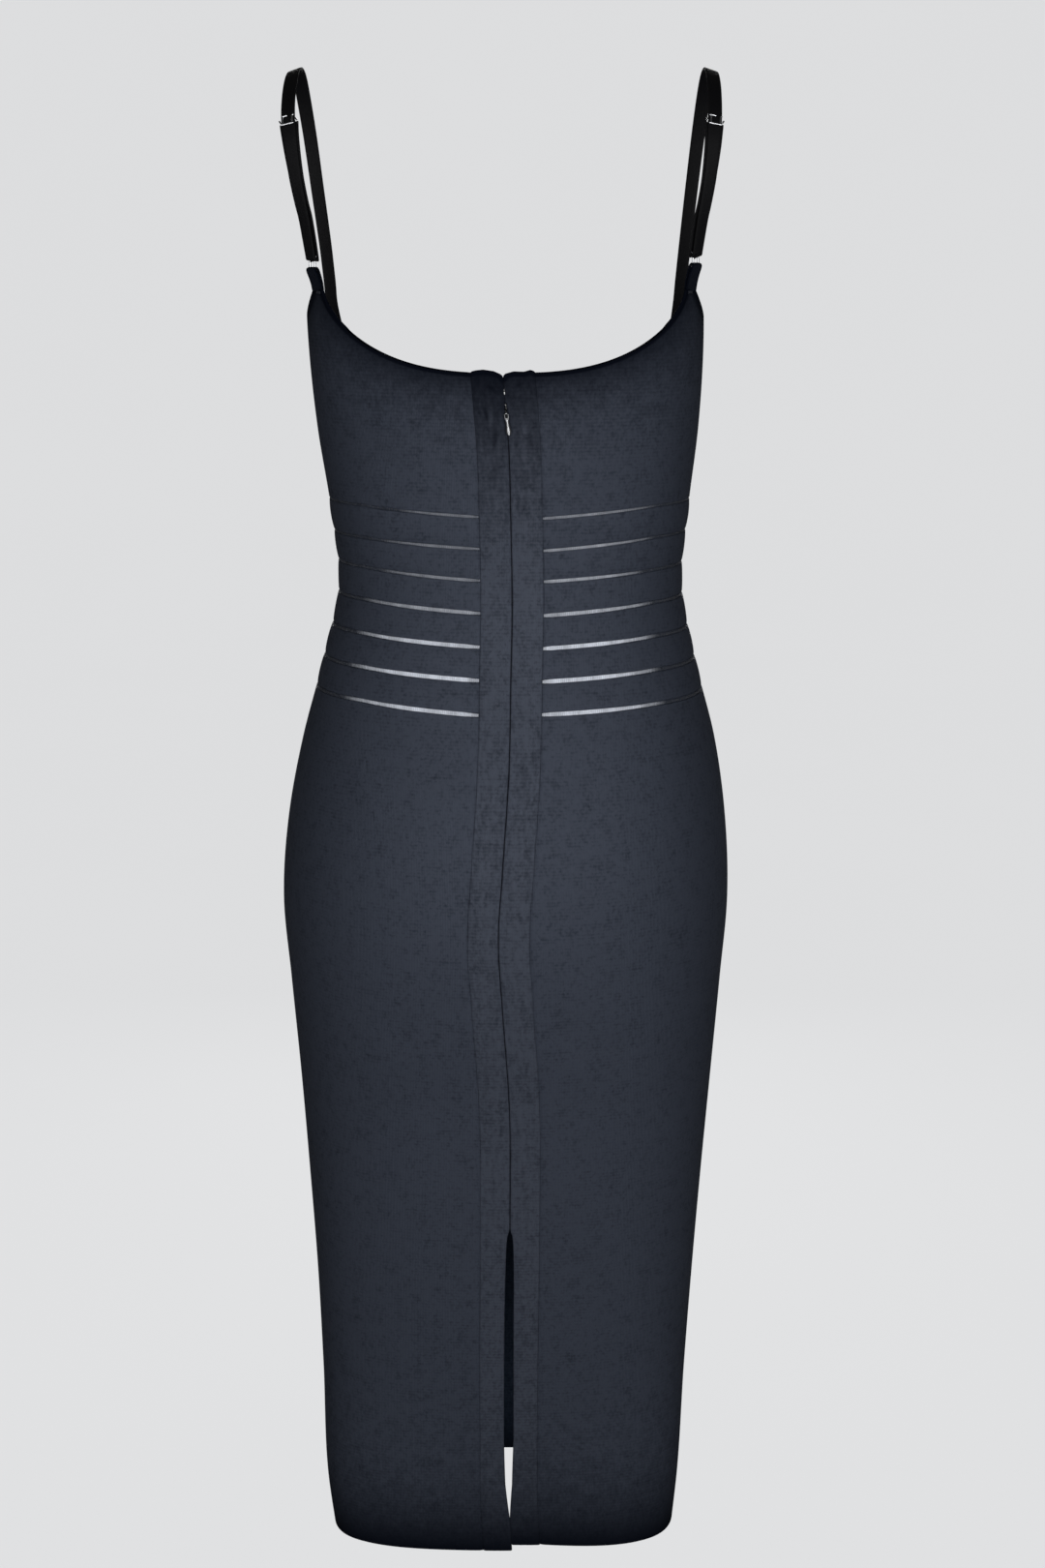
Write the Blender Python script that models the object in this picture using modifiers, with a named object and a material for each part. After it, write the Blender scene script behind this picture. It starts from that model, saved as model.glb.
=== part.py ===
"""Bodycon midi dress in heavy bandage knit, with a concealed centre-back zip, as closed solids.

Run with: blender --background --python part.py
Metres, +Z up. The back of the dress faces -Y and the wearer's left is -X. The origin lies
midway between the crests of the two shoulder straps, where the shoulders hold the dress.
"""

import math
from collections import namedtuple
from functools import lru_cache

import bmesh
import bpy
import numpy as np
from mathutils import Euler, Vector

# ---------------------------------------------------------------- driving dimensions
SEAM = 0.0003  # space kept between pieces that are sewn together
KNIT = 0.0020  # thickness of the bandage knit
BAND_RAISE = 0.0003  # how far the zip bands stand proud of the panels
BAND_WIDTH = 0.0214  # each of the two centre-back bands

NORMAL_STEP = 0.002  # reach over which the way that the cloth faces is measured

LEFT, RIGHT = -1, 1  # the wearer's sides, along X
BACK, FRONT = -1, 1  # the faces of the dress, along Y

# Outline of the dress at a height: half width, depth of the back and of the front from the
# side seams, squareness of the oval (2 is an ellipse) and how far it sits off the middle.
Section = namedtuple("Section", "z half_width back front square shift")
SECTIONS = (
    Section(-1.079, 0.1300, 0.061, 0.059, 3.6, -0.0025),
    Section(-1.040, 0.1342, 0.064, 0.062, 3.4, -0.0030),
    Section(-0.947, 0.1378, 0.071, 0.071, 2.8, -0.0020),
    Section(-0.867, 0.1415, 0.079, 0.079, 2.6, -0.0010),
    Section(-0.788, 0.1463, 0.088, 0.085, 2.5, -0.0005),
    Section(-0.711, 0.1516, 0.098, 0.092, 2.4, 0.0000),
    Section(-0.635, 0.1573, 0.112, 0.098, 2.3, 0.0000),
    Section(-0.576, 0.1615, 0.119, 0.100, 2.2, 0.0000),
    Section(-0.518, 0.1578, 0.117, 0.100, 2.2, 0.0010),
    Section(-0.460, 0.1478, 0.105, 0.097, 2.2, 0.0024),
    Section(-0.404, 0.1328, 0.090, 0.091, 2.2, 0.0028),
    Section(-0.348, 0.1211, 0.080, 0.088, 2.2, 0.0037),
    Section(-0.293, 0.1256, 0.081, 0.094, 2.3, 0.0032),
    Section(-0.239, 0.1324, 0.086, 0.103, 2.4, 0.0022),
    Section(-0.172, 0.1362, 0.092, 0.097, 2.7, 0.0008),
    Section(-0.140, 0.1360, 0.094, 0.090, 2.8, 0.0000),
)

# Sheer ladder rows knitted across the waist: height and width of each.
Row = namedtuple("Row", "z width")
LADDER_ROWS = (
    Row(-0.2900, 0.0019),
    Row(-0.3125, 0.0021),
    Row(-0.3350, 0.0024),
    Row(-0.3575, 0.0027),
    Row(-0.3800, 0.0030),
    Row(-0.4025, 0.0035),
    Row(-0.4250, 0.0032),
)
LADDER_DEPTH = 0.0009  # how far a ladder row lies below the knit around it
LADDER_EDGE = 0.0004  # height of the slope at each edge of a ladder row
STRIP_DOME = 0.0007  # how far the knit between two ladder rows swells

# Line of the centre-back seam: how far it wanders off the middle of the back.
Seam = namedtuple("Seam", "z offset")
CENTRE_SEAM = (
    Seam(-1.079, 0.0070),
    Seam(-1.048, 0.0056),
    Seam(-0.980, 0.0045),
    Seam(-0.874, 0.0036),
    Seam(-0.815, 0.0038),
    Seam(-0.700, 0.0027),
    Seam(-0.634, -0.0013),
    Seam(-0.576, -0.0042),
    Seam(-0.528, -0.0020),
    Seam(-0.460, 0.0008),
    Seam(-0.400, 0.0016),
    Seam(-0.290, 0.0012),
    Seam(-0.245, 0.0008),
    Seam(-0.223, -0.0004),
    Seam(-0.197, -0.0020),
)

# Space between the two bands: the walking vent below, the open top of the zip above.
Opening = namedtuple("Opening", "z width")
BAND_GAP = (
    Opening(-1.079, SEAM),
    Opening(-1.050, SEAM),
    Opening(-1.020, 0.0048),
    Opening(-0.980, 0.0070),
    Opening(-0.940, 0.0068),
    Opening(-0.900, 0.0064),
    Opening(-0.860, 0.0050),
    Opening(-0.815, SEAM),
    Opening(-0.2322, SEAM),
    Opening(-0.2265, 0.0021),
    Opening(-0.2180, 0.0021),
    Opening(-0.2100, 0.0018),
    Opening(-0.2060, 0.0018),
    Opening(-0.1970, 0.0006),
)

HEM_LEFT = -1.0775  # the left half of the back hangs a little longer than the right
HEM_RIGHT = -1.0725
HEM_FRONT = -1.0600  # at the middle of the front, from where it falls to the side seams
HEM_SAG_LEFT = 0.0005  # how far each half of the back dips between the band and the side
HEM_SAG_RIGHT = 0.0036
SKIRT_ROWS = (
    -1.050, -1.020, -0.980, -0.940, -0.900, -0.860, -0.815,
    -0.765, -0.715, -0.665, -0.620, -0.576, -0.530, -0.490, -0.455,
)
BODICE_BASE = -0.2835
BODICE_STEPS = (0.30, 0.60, 0.665, 0.76, 0.87, 1.0)  # rows, as shares of the way to the edge

# Back neckline: a half oval between the two ring tabs.
NECK_PEAK = -0.1430
NECK_DROP = 0.0525
NECK_HALF = 0.1215
NECK_FLATNESS = 2.7  # how flat the line runs across the middle of the back
NECK_RISE = 1.5  # how steeply it turns up to the tabs
NECK_COLUMNS = 8
BAND_TOP_LIFT = 0.0020  # the band tops stand a little above the neckline
BAND_NOTCH = 0.0020  # and dip towards the zip
BAND_PEAK = 0.3  # where across a band its top stands highest
TAB_WIDTH = 0.010
TAB_DRAW_IN = 0.86  # width of the folded ring tab, as a share of the peak it stands on
SIDE_TOP = -0.1650  # top of the side seams
ARMHOLE_COLUMNS = 2

# Front neckline: a sweetheart line between the two strap points.
STRAP_POINT_Z = -0.1870
STRAP_POINT_X = 0.1180
STRAP_POINT_WIDTH = 0.0100
SWEETHEART_DIP = -0.2550
SWEETHEART_SWELL = 1.5  # how round the line runs over each cup
CUP_RISE = 0.016  # fullness knitted into each cup
CUP_X, CUP_Z = 0.066, -0.262
CUP_REACH_X, CUP_REACH_Z = 0.052, 0.058

# Concealed zip.
ZIP_SLIDER_Z = -0.2225
ZIP_TAPE_TOP = -0.2135
ZIP_TAPE_FORK = -0.2280  # above here the tapes lie apart, on each side of the slider
ZIP_TAPE_END = -0.665
ZIP_TAPE_WIDTH = 0.012
ZIP_TAPE = 0.0010
SLIDER_BODY = (0.0052, 0.0024, 0.0086)  # across, deep, tall
SLIDER_BODY_RISE = 0.0006  # how far the body's middle sits above the bridge's
BRIDGE_WIDTH = 0.0012
BRIDGE_HALF_LENGTH = 0.0026
BRIDGE_RISE = 0.0028
BRIDGE_BAR = 0.0008
PULL = (0.0038, 0.0009, 0.0150)  # across, thick, long
PULL_EYE = (0.0024, 0.0032)  # window in the pull that loops round the bridge
PULL_STAND_OFF = 0.0010  # height of the hinge line above the bands
PULL_LEAN = math.radians(8)  # the pull hangs a little towards the wearer's right

# Hook and eye above the zip.
HOOK_Z = -0.2084
HOOK_WIRE = 0.00035  # radius
EYE_LENGTH = 0.0052
EYE_LOOP = 0.0016  # radius of the eye's open end
EYE_REACH = 0.0012  # from the seam to the middle of that end
EYE_STEP = 0.0014  # length over which the eye steps in off the cloth
HOOK_LENGTH = 0.0054
HOOK_BEND = 0.0010  # radius of the hook's turned end
HOOK_REACH = 0.0003

# Shoulder straps of flat elastic.
ELASTIC = 0.0011
STRAP_WIDTH = 0.0098
STRAP_WIDTH_AT_RING = 0.0086
LOOP_WIDTH = 0.0134  # the under layer, where it spreads at the adjuster
LAYER_SPACE = 0.0015  # between the middles of the two layers below the adjuster
FOOT_LENGTH = 0.012  # the part of the strap that is sewn inside the front
FOOT_HOLLOW = 0.0006  # the flat foot stands this far off the middle of the curved knit
RING_WIRE = 0.0007  # radius
RING_SIZE = (0.0104, 0.0086)  # across and tall, along the middle of the wire
RING_CORNER = 0.0014
RING_PLAY = 0.0002  # cloth lies a little looser than SEAM round the ring's bars
RING_CENTRE = (0.1275, -0.0535)
RING_HEIGHT = {LEFT: -0.1266, RIGHT: -0.1238}
RING_NORMAL = (0.62, -0.78, 0.0)
RING_LEAN = (0.12, -0.10, 0.985)  # the way up through a ring
ADJUSTER_WIRE = 0.0006  # radius
ADJUSTER_SIZE = (0.0112, 0.0061)  # across and tall, along the middle of the wire
ADJUSTER_CORNER = 0.0012
MIDDLE_BAR_WIRE = 0.00054  # radius
MIDDLE_BAR_BEND = 0.0006
ADJUSTER_ROW = 10  # the row of STRAP_PATH that the adjuster sits on

# Middle of the right strap's outer layer from the front over the shoulder to the ring, with
# the direction that its outer face looks in. The left strap mirrors it, and both are moved
# along X by shift.
StrapPoint = namedtuple("StrapPoint", "x y z nx ny nz shift")
STRAP_PATH = (
    StrapPoint(0.1235, 0.0605, -0.160, 0.62, 0.78, 0.00, 0.0000),
    StrapPoint(0.1275, 0.0625, -0.120, 0.55, 0.83, 0.05, 0.0000),
    StrapPoint(0.1318, 0.0590, -0.080, 0.48, 0.84, 0.25, -0.0004),
    StrapPoint(0.1352, 0.0495, -0.045, 0.40, 0.74, 0.54, -0.0006),
    StrapPoint(0.1375, 0.0350, -0.0205, 0.34, 0.48, 0.81, -0.0008),
    StrapPoint(0.1388, 0.0175, -0.0055, 0.32, 0.22, 0.92, -0.0008),
    StrapPoint(0.1398, 0.0000, -0.0004, 0.32, 0.00, 0.95, -0.0008),
    StrapPoint(0.1403, -0.0170, -0.0035, 0.31, -0.26, 0.91, -0.0010),
    StrapPoint(0.1405, -0.0340, -0.0115, 0.30, -0.50, 0.81, -0.0012),
    StrapPoint(0.1403, -0.0490, -0.0235, 0.28, -0.70, 0.65, -0.0014),
    StrapPoint(0.1397, -0.0585, -0.0350, 0.28, -0.82, 0.48, -0.0014),
    StrapPoint(0.1384, -0.0650, -0.0500, 0.32, -0.88, 0.28, -0.0010),
    StrapPoint(0.1356, -0.0665, -0.0740, 0.42, -0.88, 0.05, -0.0006),
    StrapPoint(0.1314, -0.0615, -0.0990, 0.55, -0.82, -0.06, -0.0003),
)

# ---------------------------------------------------------------- scene and materials


def clear_scene():
    for item in list(bpy.data.objects):
        bpy.data.objects.remove(item, do_unlink=True)


def new_collection(name):
    collection = bpy.data.collections.new(name)
    bpy.context.scene.collection.children.link(collection)
    return collection


def new_material(name, colour, roughness, metallic=0.0):
    made = bpy.data.materials.new(name)
    made.use_nodes = True
    shader = made.node_tree.nodes["Principled BSDF"]
    shader.inputs["Base Color"].default_value = (*colour, 1.0)
    shader.inputs["Roughness"].default_value = roughness
    shader.inputs["Metallic"].default_value = metallic
    return made


clear_scene()
DRESS = new_collection("bodycon_dress")
CUTTERS = new_collection("cutters")
MATERIALS = {
    "knit": new_material("slate_bandage_knit", (0.035, 0.041, 0.056), 0.75),
    "band": new_material("slate_zip_band", (0.042, 0.048, 0.063), 0.78),
    "tape": new_material("black_zip_tape", (0.010, 0.011, 0.014), 0.85),
    "elastic": new_material("black_satin_elastic", (0.006, 0.006, 0.008), 0.45),
    "metal": new_material("silver_plated_metal", (0.82, 0.83, 0.85), 0.22, 1.0),
}


def link_object(name, mesh, material):
    item = bpy.data.objects.new(name, mesh)
    mesh.materials.clear()
    mesh.materials.append(MATERIALS[material])
    DRESS.objects.link(item)
    return item


# ---------------------------------------------------------------- the form of the dress


def along_table(rows, z, column):
    """A column of a table read at a height, on a smooth curve through its rows."""
    heights = [row.z for row in rows]
    values = [getattr(row, column) for row in rows]
    slopes = np.gradient(values, heights)
    i = min(max(int(np.searchsorted(heights, z)) - 1, 0), len(rows) - 2)
    span = heights[i + 1] - heights[i]
    t = min(max((z - heights[i]) / span, 0.0), 1.0)
    from_start = (1 + 2 * t) * (1 - t) ** 2 * values[i] + t * (1 - t) ** 2 * span * slopes[i]
    from_end = t * t * (3 - 2 * t) * values[i + 1] + t * t * (t - 1) * span * slopes[i + 1]
    return from_start + from_end


def gap_between_bands(z):
    return float(np.interp(z, [row.z for row in BAND_GAP], [row.width for row in BAND_GAP]))


@lru_cache(maxsize=None)
def quarter(face, z, inset):
    """A quarter of the outline at a height, from the middle of a face to the side seam.

    Gives the distance along it and its x and y, moved in by inset from the outer surface.
    """
    depth = along_table(SECTIONS, z, "back" if face == BACK else "front") - inset
    half_width = along_table(SECTIONS, z, "half_width") - inset
    power = 2 / along_table(SECTIONS, z, "square")
    angle = np.linspace(0, math.pi / 2, 241)
    x = half_width * np.sin(angle) ** power
    y = depth * np.maximum(np.cos(angle), 0) ** power
    along = np.concatenate(([0.0], np.cumsum(np.hypot(np.diff(x), np.diff(y)))))
    return along, x, y


def side_distance(face, z, inset=0.0):
    return float(quarter(face, z, inset)[0][-1])


def distance_at_x(face, x, z, inset=0.0):
    """How far round the outline a point x off the middle lies."""
    along, xs, _ = quarter(face, z, inset)
    return float(np.interp(x, xs, along))


def cup(x, z):
    across = (abs(x) - CUP_X) / CUP_REACH_X
    up = (z - CUP_Z) / CUP_REACH_Z
    return CUP_RISE * math.exp(-across * across - up * up)


def body_point(face, distance, z, inset=0.0):
    """A point of the dress at a signed distance round from the middle of a face."""
    along, xs, ys = quarter(face, round(z, 6), inset)
    side = math.copysign(1, distance)
    x = side * float(np.interp(abs(distance), along, xs))
    y = face * float(np.interp(abs(distance), along, ys))
    if face == FRONT:
        y += cup(x, z) * y / float(ys[0])
    return Vector((x + along_table(SECTIONS, z, "shift"), y, z))


def body_normal(face, distance, z):
    """The direction that the dress faces at a point, square to its outline."""
    ahead = body_point(face, distance + NORMAL_STEP, z)
    behind = body_point(face, distance - NORMAL_STEP, z)
    return (ahead - behind).cross(Vector((0, 0, 1))).normalized() * -face


def back_neckline(x):
    reach = min(abs(x) / NECK_HALF, 1.0)
    return NECK_PEAK - NECK_DROP * (1 - reach**NECK_FLATNESS) ** (1 / NECK_RISE)


def sweetheart(x):
    reach = min(abs(x) / STRAP_POINT_X, 1.0)
    rise = 1 - (1 - reach) ** SWEETHEART_SWELL
    return SWEETHEART_DIP + (STRAP_POINT_Z - SWEETHEART_DIP) * rise


# ---------------------------------------------------------------- cloth walls


def cloth_wall(name, columns, rows, place, material):
    """A closed wall: a grid whose extruded copy is its inner face.

    place(column, row, inner) gives each point.
    """
    shape = bmesh.new()
    bmesh.ops.create_grid(shape, x_segments=columns, y_segments=rows, size=1.0)
    outer = list(shape.verts)
    made = bmesh.ops.extrude_face_region(shape, geom=list(shape.faces))
    inner = [item for item in made["geom"] if isinstance(item, bmesh.types.BMVert)]
    for points, is_inner in ((outer, False), (inner, True)):
        for point in points:
            column = round((point.co.x + 1) / 2 * columns)
            row = round((point.co.y + 1) / 2 * rows)
            point.co = place(column, row, is_inner)
    bmesh.ops.recalc_face_normals(shape, faces=list(shape.faces))
    mesh = bpy.data.meshes.new(name)
    shape.to_mesh(mesh)
    shape.free()
    mesh.shade_smooth()
    mesh.set_sharp_from_angle(angle=math.radians(40))
    return link_object(name, mesh, material)


def waist_rows():
    """Heights of the waist rows, and how far the outer face lies in at each."""
    rows = []
    below = None
    for row in reversed(LADDER_ROWS):
        if below is not None:
            rows.append(((below.z + row.z) / 2, -STRIP_DOME))
        half = row.width / 2
        rows.append((row.z - half - LADDER_EDGE, 0.0))
        rows.append((row.z - half, LADDER_DEPTH))
        rows.append((row.z + half, LADDER_DEPTH))
        rows.append((row.z + half + LADDER_EDGE, 0.0))
        below = row
    return rows


FIXED_ROWS = [(z, 0.0) for z in SKIRT_ROWS] + waist_rows() + [(BODICE_BASE, 0.0)]
ROW_COUNT = len(FIXED_ROWS) + len(BODICE_STEPS)


def row_height(row, hem, top):
    """Height and inward relief of a row, and how far up the bodice it lies."""
    if row == 0:
        return hem, 0.0, 0.0
    if row <= len(FIXED_ROWS):
        return (*FIXED_ROWS[row - 1], 0.0)
    share = BODICE_STEPS[row - len(FIXED_ROWS) - 1]
    return BODICE_BASE + share * (top - BODICE_BASE), 0.0, share


def blend(start, end, share):
    return start + (end - start) * share


def back_top(x_start):
    """Top edge of a back panel from the band to the side seam: a list of x or of
    distance from the tab's inner edge, with the height there."""
    first = math.asin(x_start / NECK_HALF)
    edge = []
    for i in range(NECK_COLUMNS + 1):
        x = NECK_HALF * math.sin(blend(first, math.pi / 2, i / NECK_COLUMNS))
        edge.append((x, 0.0, back_neckline(x)))
    edge.append((NECK_HALF, TAB_WIDTH, NECK_PEAK))
    for i in range(1, ARMHOLE_COLUMNS + 1):
        left = 1 - i / ARMHOLE_COLUMNS
        edge.append((NECK_HALF, None if left == 0 else left, blend(SIDE_TOP, NECK_PEAK, left**2)))
    return edge


def top_distance(edge_point, face, z, inset, point_x, point_width):
    """Distance round from the middle at which a top-edge point lies."""
    x, beyond, _ = edge_point
    if x < point_x:
        return distance_at_x(face, x, z, inset)
    side = side_distance(face, z, inset) - SEAM / 2
    inner = distance_at_x(face, point_x, z, inset)
    outer = inner + point_width
    if beyond is None:
        return side
    if beyond in (0.0, point_width):
        return inner + beyond
    return blend(side, outer, beyond)


def make_back(side, name, hem, sag):
    edge = back_top(BAND_WIDTH)
    columns = len(edge) - 1

    def place(column, row, is_inner):
        if side == LEFT:
            column = columns - column
        low = hem - sag * math.sin(math.pi * column / columns)
        z, relief, share = row_height(row, low, edge[column][2])
        inset = KNIT if is_inner else relief
        offset = side * along_table(CENTRE_SEAM, z, "offset")
        start = BAND_WIDTH + SEAM / 2 + offset
        end = side_distance(BACK, z, inset) - SEAM / 2
        even = blend(start, end, column / columns)
        at_top = top_distance(edge[column], BACK, z, inset, NECK_HALF, TAB_WIDTH)
        at_top = start if column == 0 else at_top
        return body_point(BACK, side * blend(even, at_top, share), z, inset)

    return cloth_wall(name, columns, ROW_COUNT, place, "knit")


def front_top():
    """Top edge of half the front from the middle to the side seam."""
    edge = []
    for i in range(NECK_COLUMNS + 1):
        x = STRAP_POINT_X * i / NECK_COLUMNS
        edge.append((x, 0.0, sweetheart(x)))
    edge.append((STRAP_POINT_X, STRAP_POINT_WIDTH, STRAP_POINT_Z))
    for i in range(1, ARMHOLE_COLUMNS + 1):
        left = 1 - i / ARMHOLE_COLUMNS
        height = blend(SIDE_TOP, STRAP_POINT_Z, left**0.5)
        edge.append((STRAP_POINT_X, None if left == 0 else left, height))
    return edge


def make_front():
    edge = front_top()
    half = len(edge) - 1

    def place(column, row, is_inner):
        side = LEFT if column > half else RIGHT
        column = abs(column - half)
        side_hem = HEM_LEFT if side == LEFT else HEM_RIGHT
        low = blend(HEM_FRONT, side_hem, (column / half) ** 2)
        z, relief, share = row_height(row, low, edge[column][2])
        inset = KNIT if is_inner else relief
        end = side_distance(FRONT, z, inset) - SEAM / 2
        even = end * column / half
        at_top = top_distance(
            edge[column], FRONT, z, inset, STRAP_POINT_X, STRAP_POINT_WIDTH
        )
        return body_point(FRONT, side * blend(even, at_top, share), z, inset)

    return cloth_wall("front", 2 * half, ROW_COUNT, place, "knit")


def make_band(side, name, hem):
    """A centre-back band, from the neckline to the hem, with its half of the vent."""
    shares = (0.0, BAND_PEAK, (BAND_PEAK + 1) / 2, 1.0)
    lifts = (-BAND_NOTCH, BAND_TOP_LIFT, BAND_TOP_LIFT / 2, 0.0)
    columns = len(shares) - 1

    def place(column, row, is_inner):
        if side == LEFT:
            column = columns - column
        top = back_neckline(shares[column] * BAND_WIDTH) + lifts[column]
        z, _, _ = row_height(row, hem, top)
        offset = along_table(CENTRE_SEAM, z, "offset")
        start = gap_between_bands(z) / 2
        end = BAND_WIDTH - SEAM / 2
        distance = offset + side * blend(start, end, shares[column])
        inset = KNIT if is_inner else -BAND_RAISE
        return body_point(BACK, distance, z, inset)

    return cloth_wall(name, columns, ROW_COUNT, place, "band")


# ---------------------------------------------------------------- the zip


def make_zip_tape(side, name):
    """Woven tape that lies inside a band, held open round the zip slider."""
    heights = [ZIP_TAPE_END]
    heights += [z for z, relief in FIXED_ROWS if relief == 0.0 and z > ZIP_TAPE_END]
    rise = NECK_PEAK - NECK_DROP - BODICE_BASE
    heights += [BODICE_BASE + share * rise for share in BODICE_STEPS]
    heights = [z for z in heights if z < ZIP_TAPE_TOP] + [ZIP_TAPE_FORK, ZIP_TAPE_TOP]
    heights.sort()
    clear = SLIDER_BODY[0] / 2 + 2.5 * SEAM
    depth = KNIT + SEAM

    def place(column, row, is_inner):
        z = heights[row]
        column = 1 - column if side == LEFT else column
        start = clear if z >= ZIP_TAPE_FORK else SEAM / 2
        offset = along_table(CENTRE_SEAM, z, "offset")
        distance = offset + side * blend(start, ZIP_TAPE_WIDTH, column)
        return body_point(BACK, distance, z, depth + (ZIP_TAPE if is_inner else 0.0))

    return cloth_wall(name, 1, len(heights) - 1, place, "tape")


def zip_centre():
    """The point of the bands' outer face that the zip slider's bridge stands over."""
    offset = along_table(CENTRE_SEAM, ZIP_SLIDER_Z, "offset")
    return body_point(BACK, offset, ZIP_SLIDER_Z, -BAND_RAISE)


def add_box(name, low, high, collection):
    """A box between two corners, as an object of its own."""
    shape = bmesh.new()
    bmesh.ops.create_cube(shape, size=1.0)
    size = Vector(high) - Vector(low)
    bmesh.ops.scale(shape, vec=size, verts=shape.verts)
    bmesh.ops.translate(shape, vec=(Vector(high) + Vector(low)) / 2, verts=shape.verts)
    mesh = bpy.data.meshes.new(name)
    shape.to_mesh(mesh)
    shape.free()
    item = bpy.data.objects.new(name, mesh)
    collection.objects.link(item)
    if collection == CUTTERS:
        item.hide_render = True
        item.display_type = "WIRE"
    return item


def add_boolean(item, other, operation):
    change = item.modifiers.new(operation.lower(), "BOOLEAN")
    change.operation = operation
    change.object = other
    change.solver = "EXACT"


def add_bevel(item, width, segments=1):
    rounding = item.modifiers.new("rounding", "BEVEL")
    rounding.width = width
    rounding.segments = segments
    rounding.limit_method = "ANGLE"


def make_zip_slider():
    """Slider body behind the bands, and the bridge that comes out between them."""
    centre = zip_centre()
    half = [size / 2 for size in SLIDER_BODY]
    body_back = KNIT + BAND_RAISE + SEAM
    body = add_box(
        "zip_slider",
        (-half[0], body_back, SLIDER_BODY_RISE - half[2]),
        (half[0], body_back + SLIDER_BODY[1], SLIDER_BODY_RISE + half[2]),
        DRESS,
    )
    body.data.materials.append(MATERIALS["metal"])
    add_bevel(body, 0.0005, 1)
    bridge = add_box(
        "bridge_shape",
        (-BRIDGE_WIDTH / 2, -BRIDGE_RISE, -BRIDGE_HALF_LENGTH),
        (BRIDGE_WIDTH / 2, body_back + SLIDER_BODY[1] / 2, BRIDGE_HALF_LENGTH),
        CUTTERS,
    )
    under = add_box(
        "under_bridge",
        (-BRIDGE_WIDTH, -BRIDGE_RISE + BRIDGE_BAR, -BRIDGE_HALF_LENGTH + BRIDGE_BAR),
        (BRIDGE_WIDTH, 0.0, BRIDGE_HALF_LENGTH - BRIDGE_BAR),
        CUTTERS,
    )
    add_boolean(body, bridge, "UNION")
    add_boolean(body, under, "DIFFERENCE")
    for item in (body, bridge, under):
        item.location = centre
    return body


def make_zip_pull():
    """Pull tab that hangs from the bridge. Its origin lies on the hinge line."""
    across, thick, long = PULL
    bar = thick
    pull = add_box("zip_pull", (-across / 2, -thick / 2, bar / 2 - long),
                   (across / 2, thick / 2, bar / 2), DRESS)
    pull.data.materials.append(MATERIALS["metal"])
    eye = add_box("pull_eye", (-PULL_EYE[0] / 2, -thick, -bar / 2 - PULL_EYE[1]),
                  (PULL_EYE[0] / 2, thick, -bar / 2), CUTTERS)
    corners = pull.modifiers.new("rounded_corners", "BEVEL")
    corners.width = 0.0007
    corners.segments = 2
    corners.limit_method = "ANGLE"
    add_boolean(pull, eye, "DIFFERENCE")
    for item in (pull, eye):
        item.location = zip_centre() + Vector((0, -PULL_STAND_OFF, 0))
        item.rotation_euler = Euler((0, -PULL_LEAN, 0))
    return pull


# ---------------------------------------------------------------- wires


def wire_curve(name, points, radius, closed=False):
    """A round wire along points, as a curve with a bevel."""
    curve = bpy.data.curves.new(name, "CURVE")
    curve.dimensions = "3D"
    curve.bevel_depth = radius
    curve.bevel_resolution = 1
    curve.use_fill_caps = not closed
    spline = curve.splines.new("POLY")
    spline.points.add(len(points) - 1)
    for target, point in zip(spline.points, points):
        target.co = (*point, 1.0)
    spline.use_cyclic_u = closed
    item = bpy.data.objects.new(name, curve)
    DRESS.objects.link(item)
    return item


def wire_mesh(name, points, radius, closed=False):
    """The same wire as a closed mesh object."""
    source = wire_curve(name + "_curve", points, radius, closed)
    bpy.context.view_layer.update()
    evaluated = source.evaluated_get(bpy.context.evaluated_depsgraph_get())
    mesh = bpy.data.meshes.new_from_object(evaluated)
    shape = bmesh.new()
    shape.from_mesh(mesh)
    bmesh.ops.remove_doubles(shape, verts=shape.verts, dist=1e-5)
    bmesh.ops.recalc_face_normals(shape, faces=list(shape.faces))
    shape.to_mesh(mesh)
    shape.free()
    mesh.name = name
    curve = source.data
    bpy.data.objects.remove(source, do_unlink=True)
    bpy.data.curves.remove(curve)
    return link_object(name, mesh, "metal")


def arc(centre, radius, start, end, steps):
    """Points of an arc in a plane, angles in degrees."""
    points = []
    for i in range(steps + 1):
        angle = math.radians(blend(start, end, i / steps))
        points.append((centre[0] + radius * math.cos(angle), centre[1] + radius * math.sin(angle)))
    return points


def rounded_loop(width, height, corner):
    """A rectangle with rounded corners, centred, as a closed run of points."""
    x, y = width / 2 - corner, height / 2 - corner
    points = []
    for centre, start in (((x, y), 0), ((-x, y), 90), ((-x, -y), 180), ((x, -y), 270)):
        points += arc(centre, corner, start, start + 90, 3)
    return points


def make_hook_and_eye():
    """An eye sewn inside the left band and a hook inside the right one, hooked together."""
    gap_middle = along_table(CENTRE_SEAM, HOOK_Z, "offset")
    centre = body_point(BACK, gap_middle, HOOK_Z, KNIT + SEAM + HOOK_WIRE)
    eye = [(-EYE_LENGTH, 0.0, EYE_LOOP), (EYE_STEP - EYE_LENGTH, HOOK_BEND, EYE_LOOP)]
    for x, z in arc((-EYE_REACH, 0.0), EYE_LOOP, 90, -90, 6):
        eye.append((x, HOOK_BEND, z))
    eye += [(EYE_STEP - EYE_LENGTH, HOOK_BEND, -EYE_LOOP), (-EYE_LENGTH, 0.0, -EYE_LOOP)]
    wire_mesh("eye", [centre + Vector(point) for point in eye], HOOK_WIRE)
    bend = arc((-HOOK_REACH, HOOK_BEND), HOOK_BEND, 270, 90, 6)
    hook = [(HOOK_LENGTH, 0.0), *bend, (HOOK_BEND, 2 * HOOK_BEND)]
    wire_mesh("hook", [centre + Vector((x, y, 0)) for x, y in hook], HOOK_WIRE)


# ---------------------------------------------------------------- straps

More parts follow.
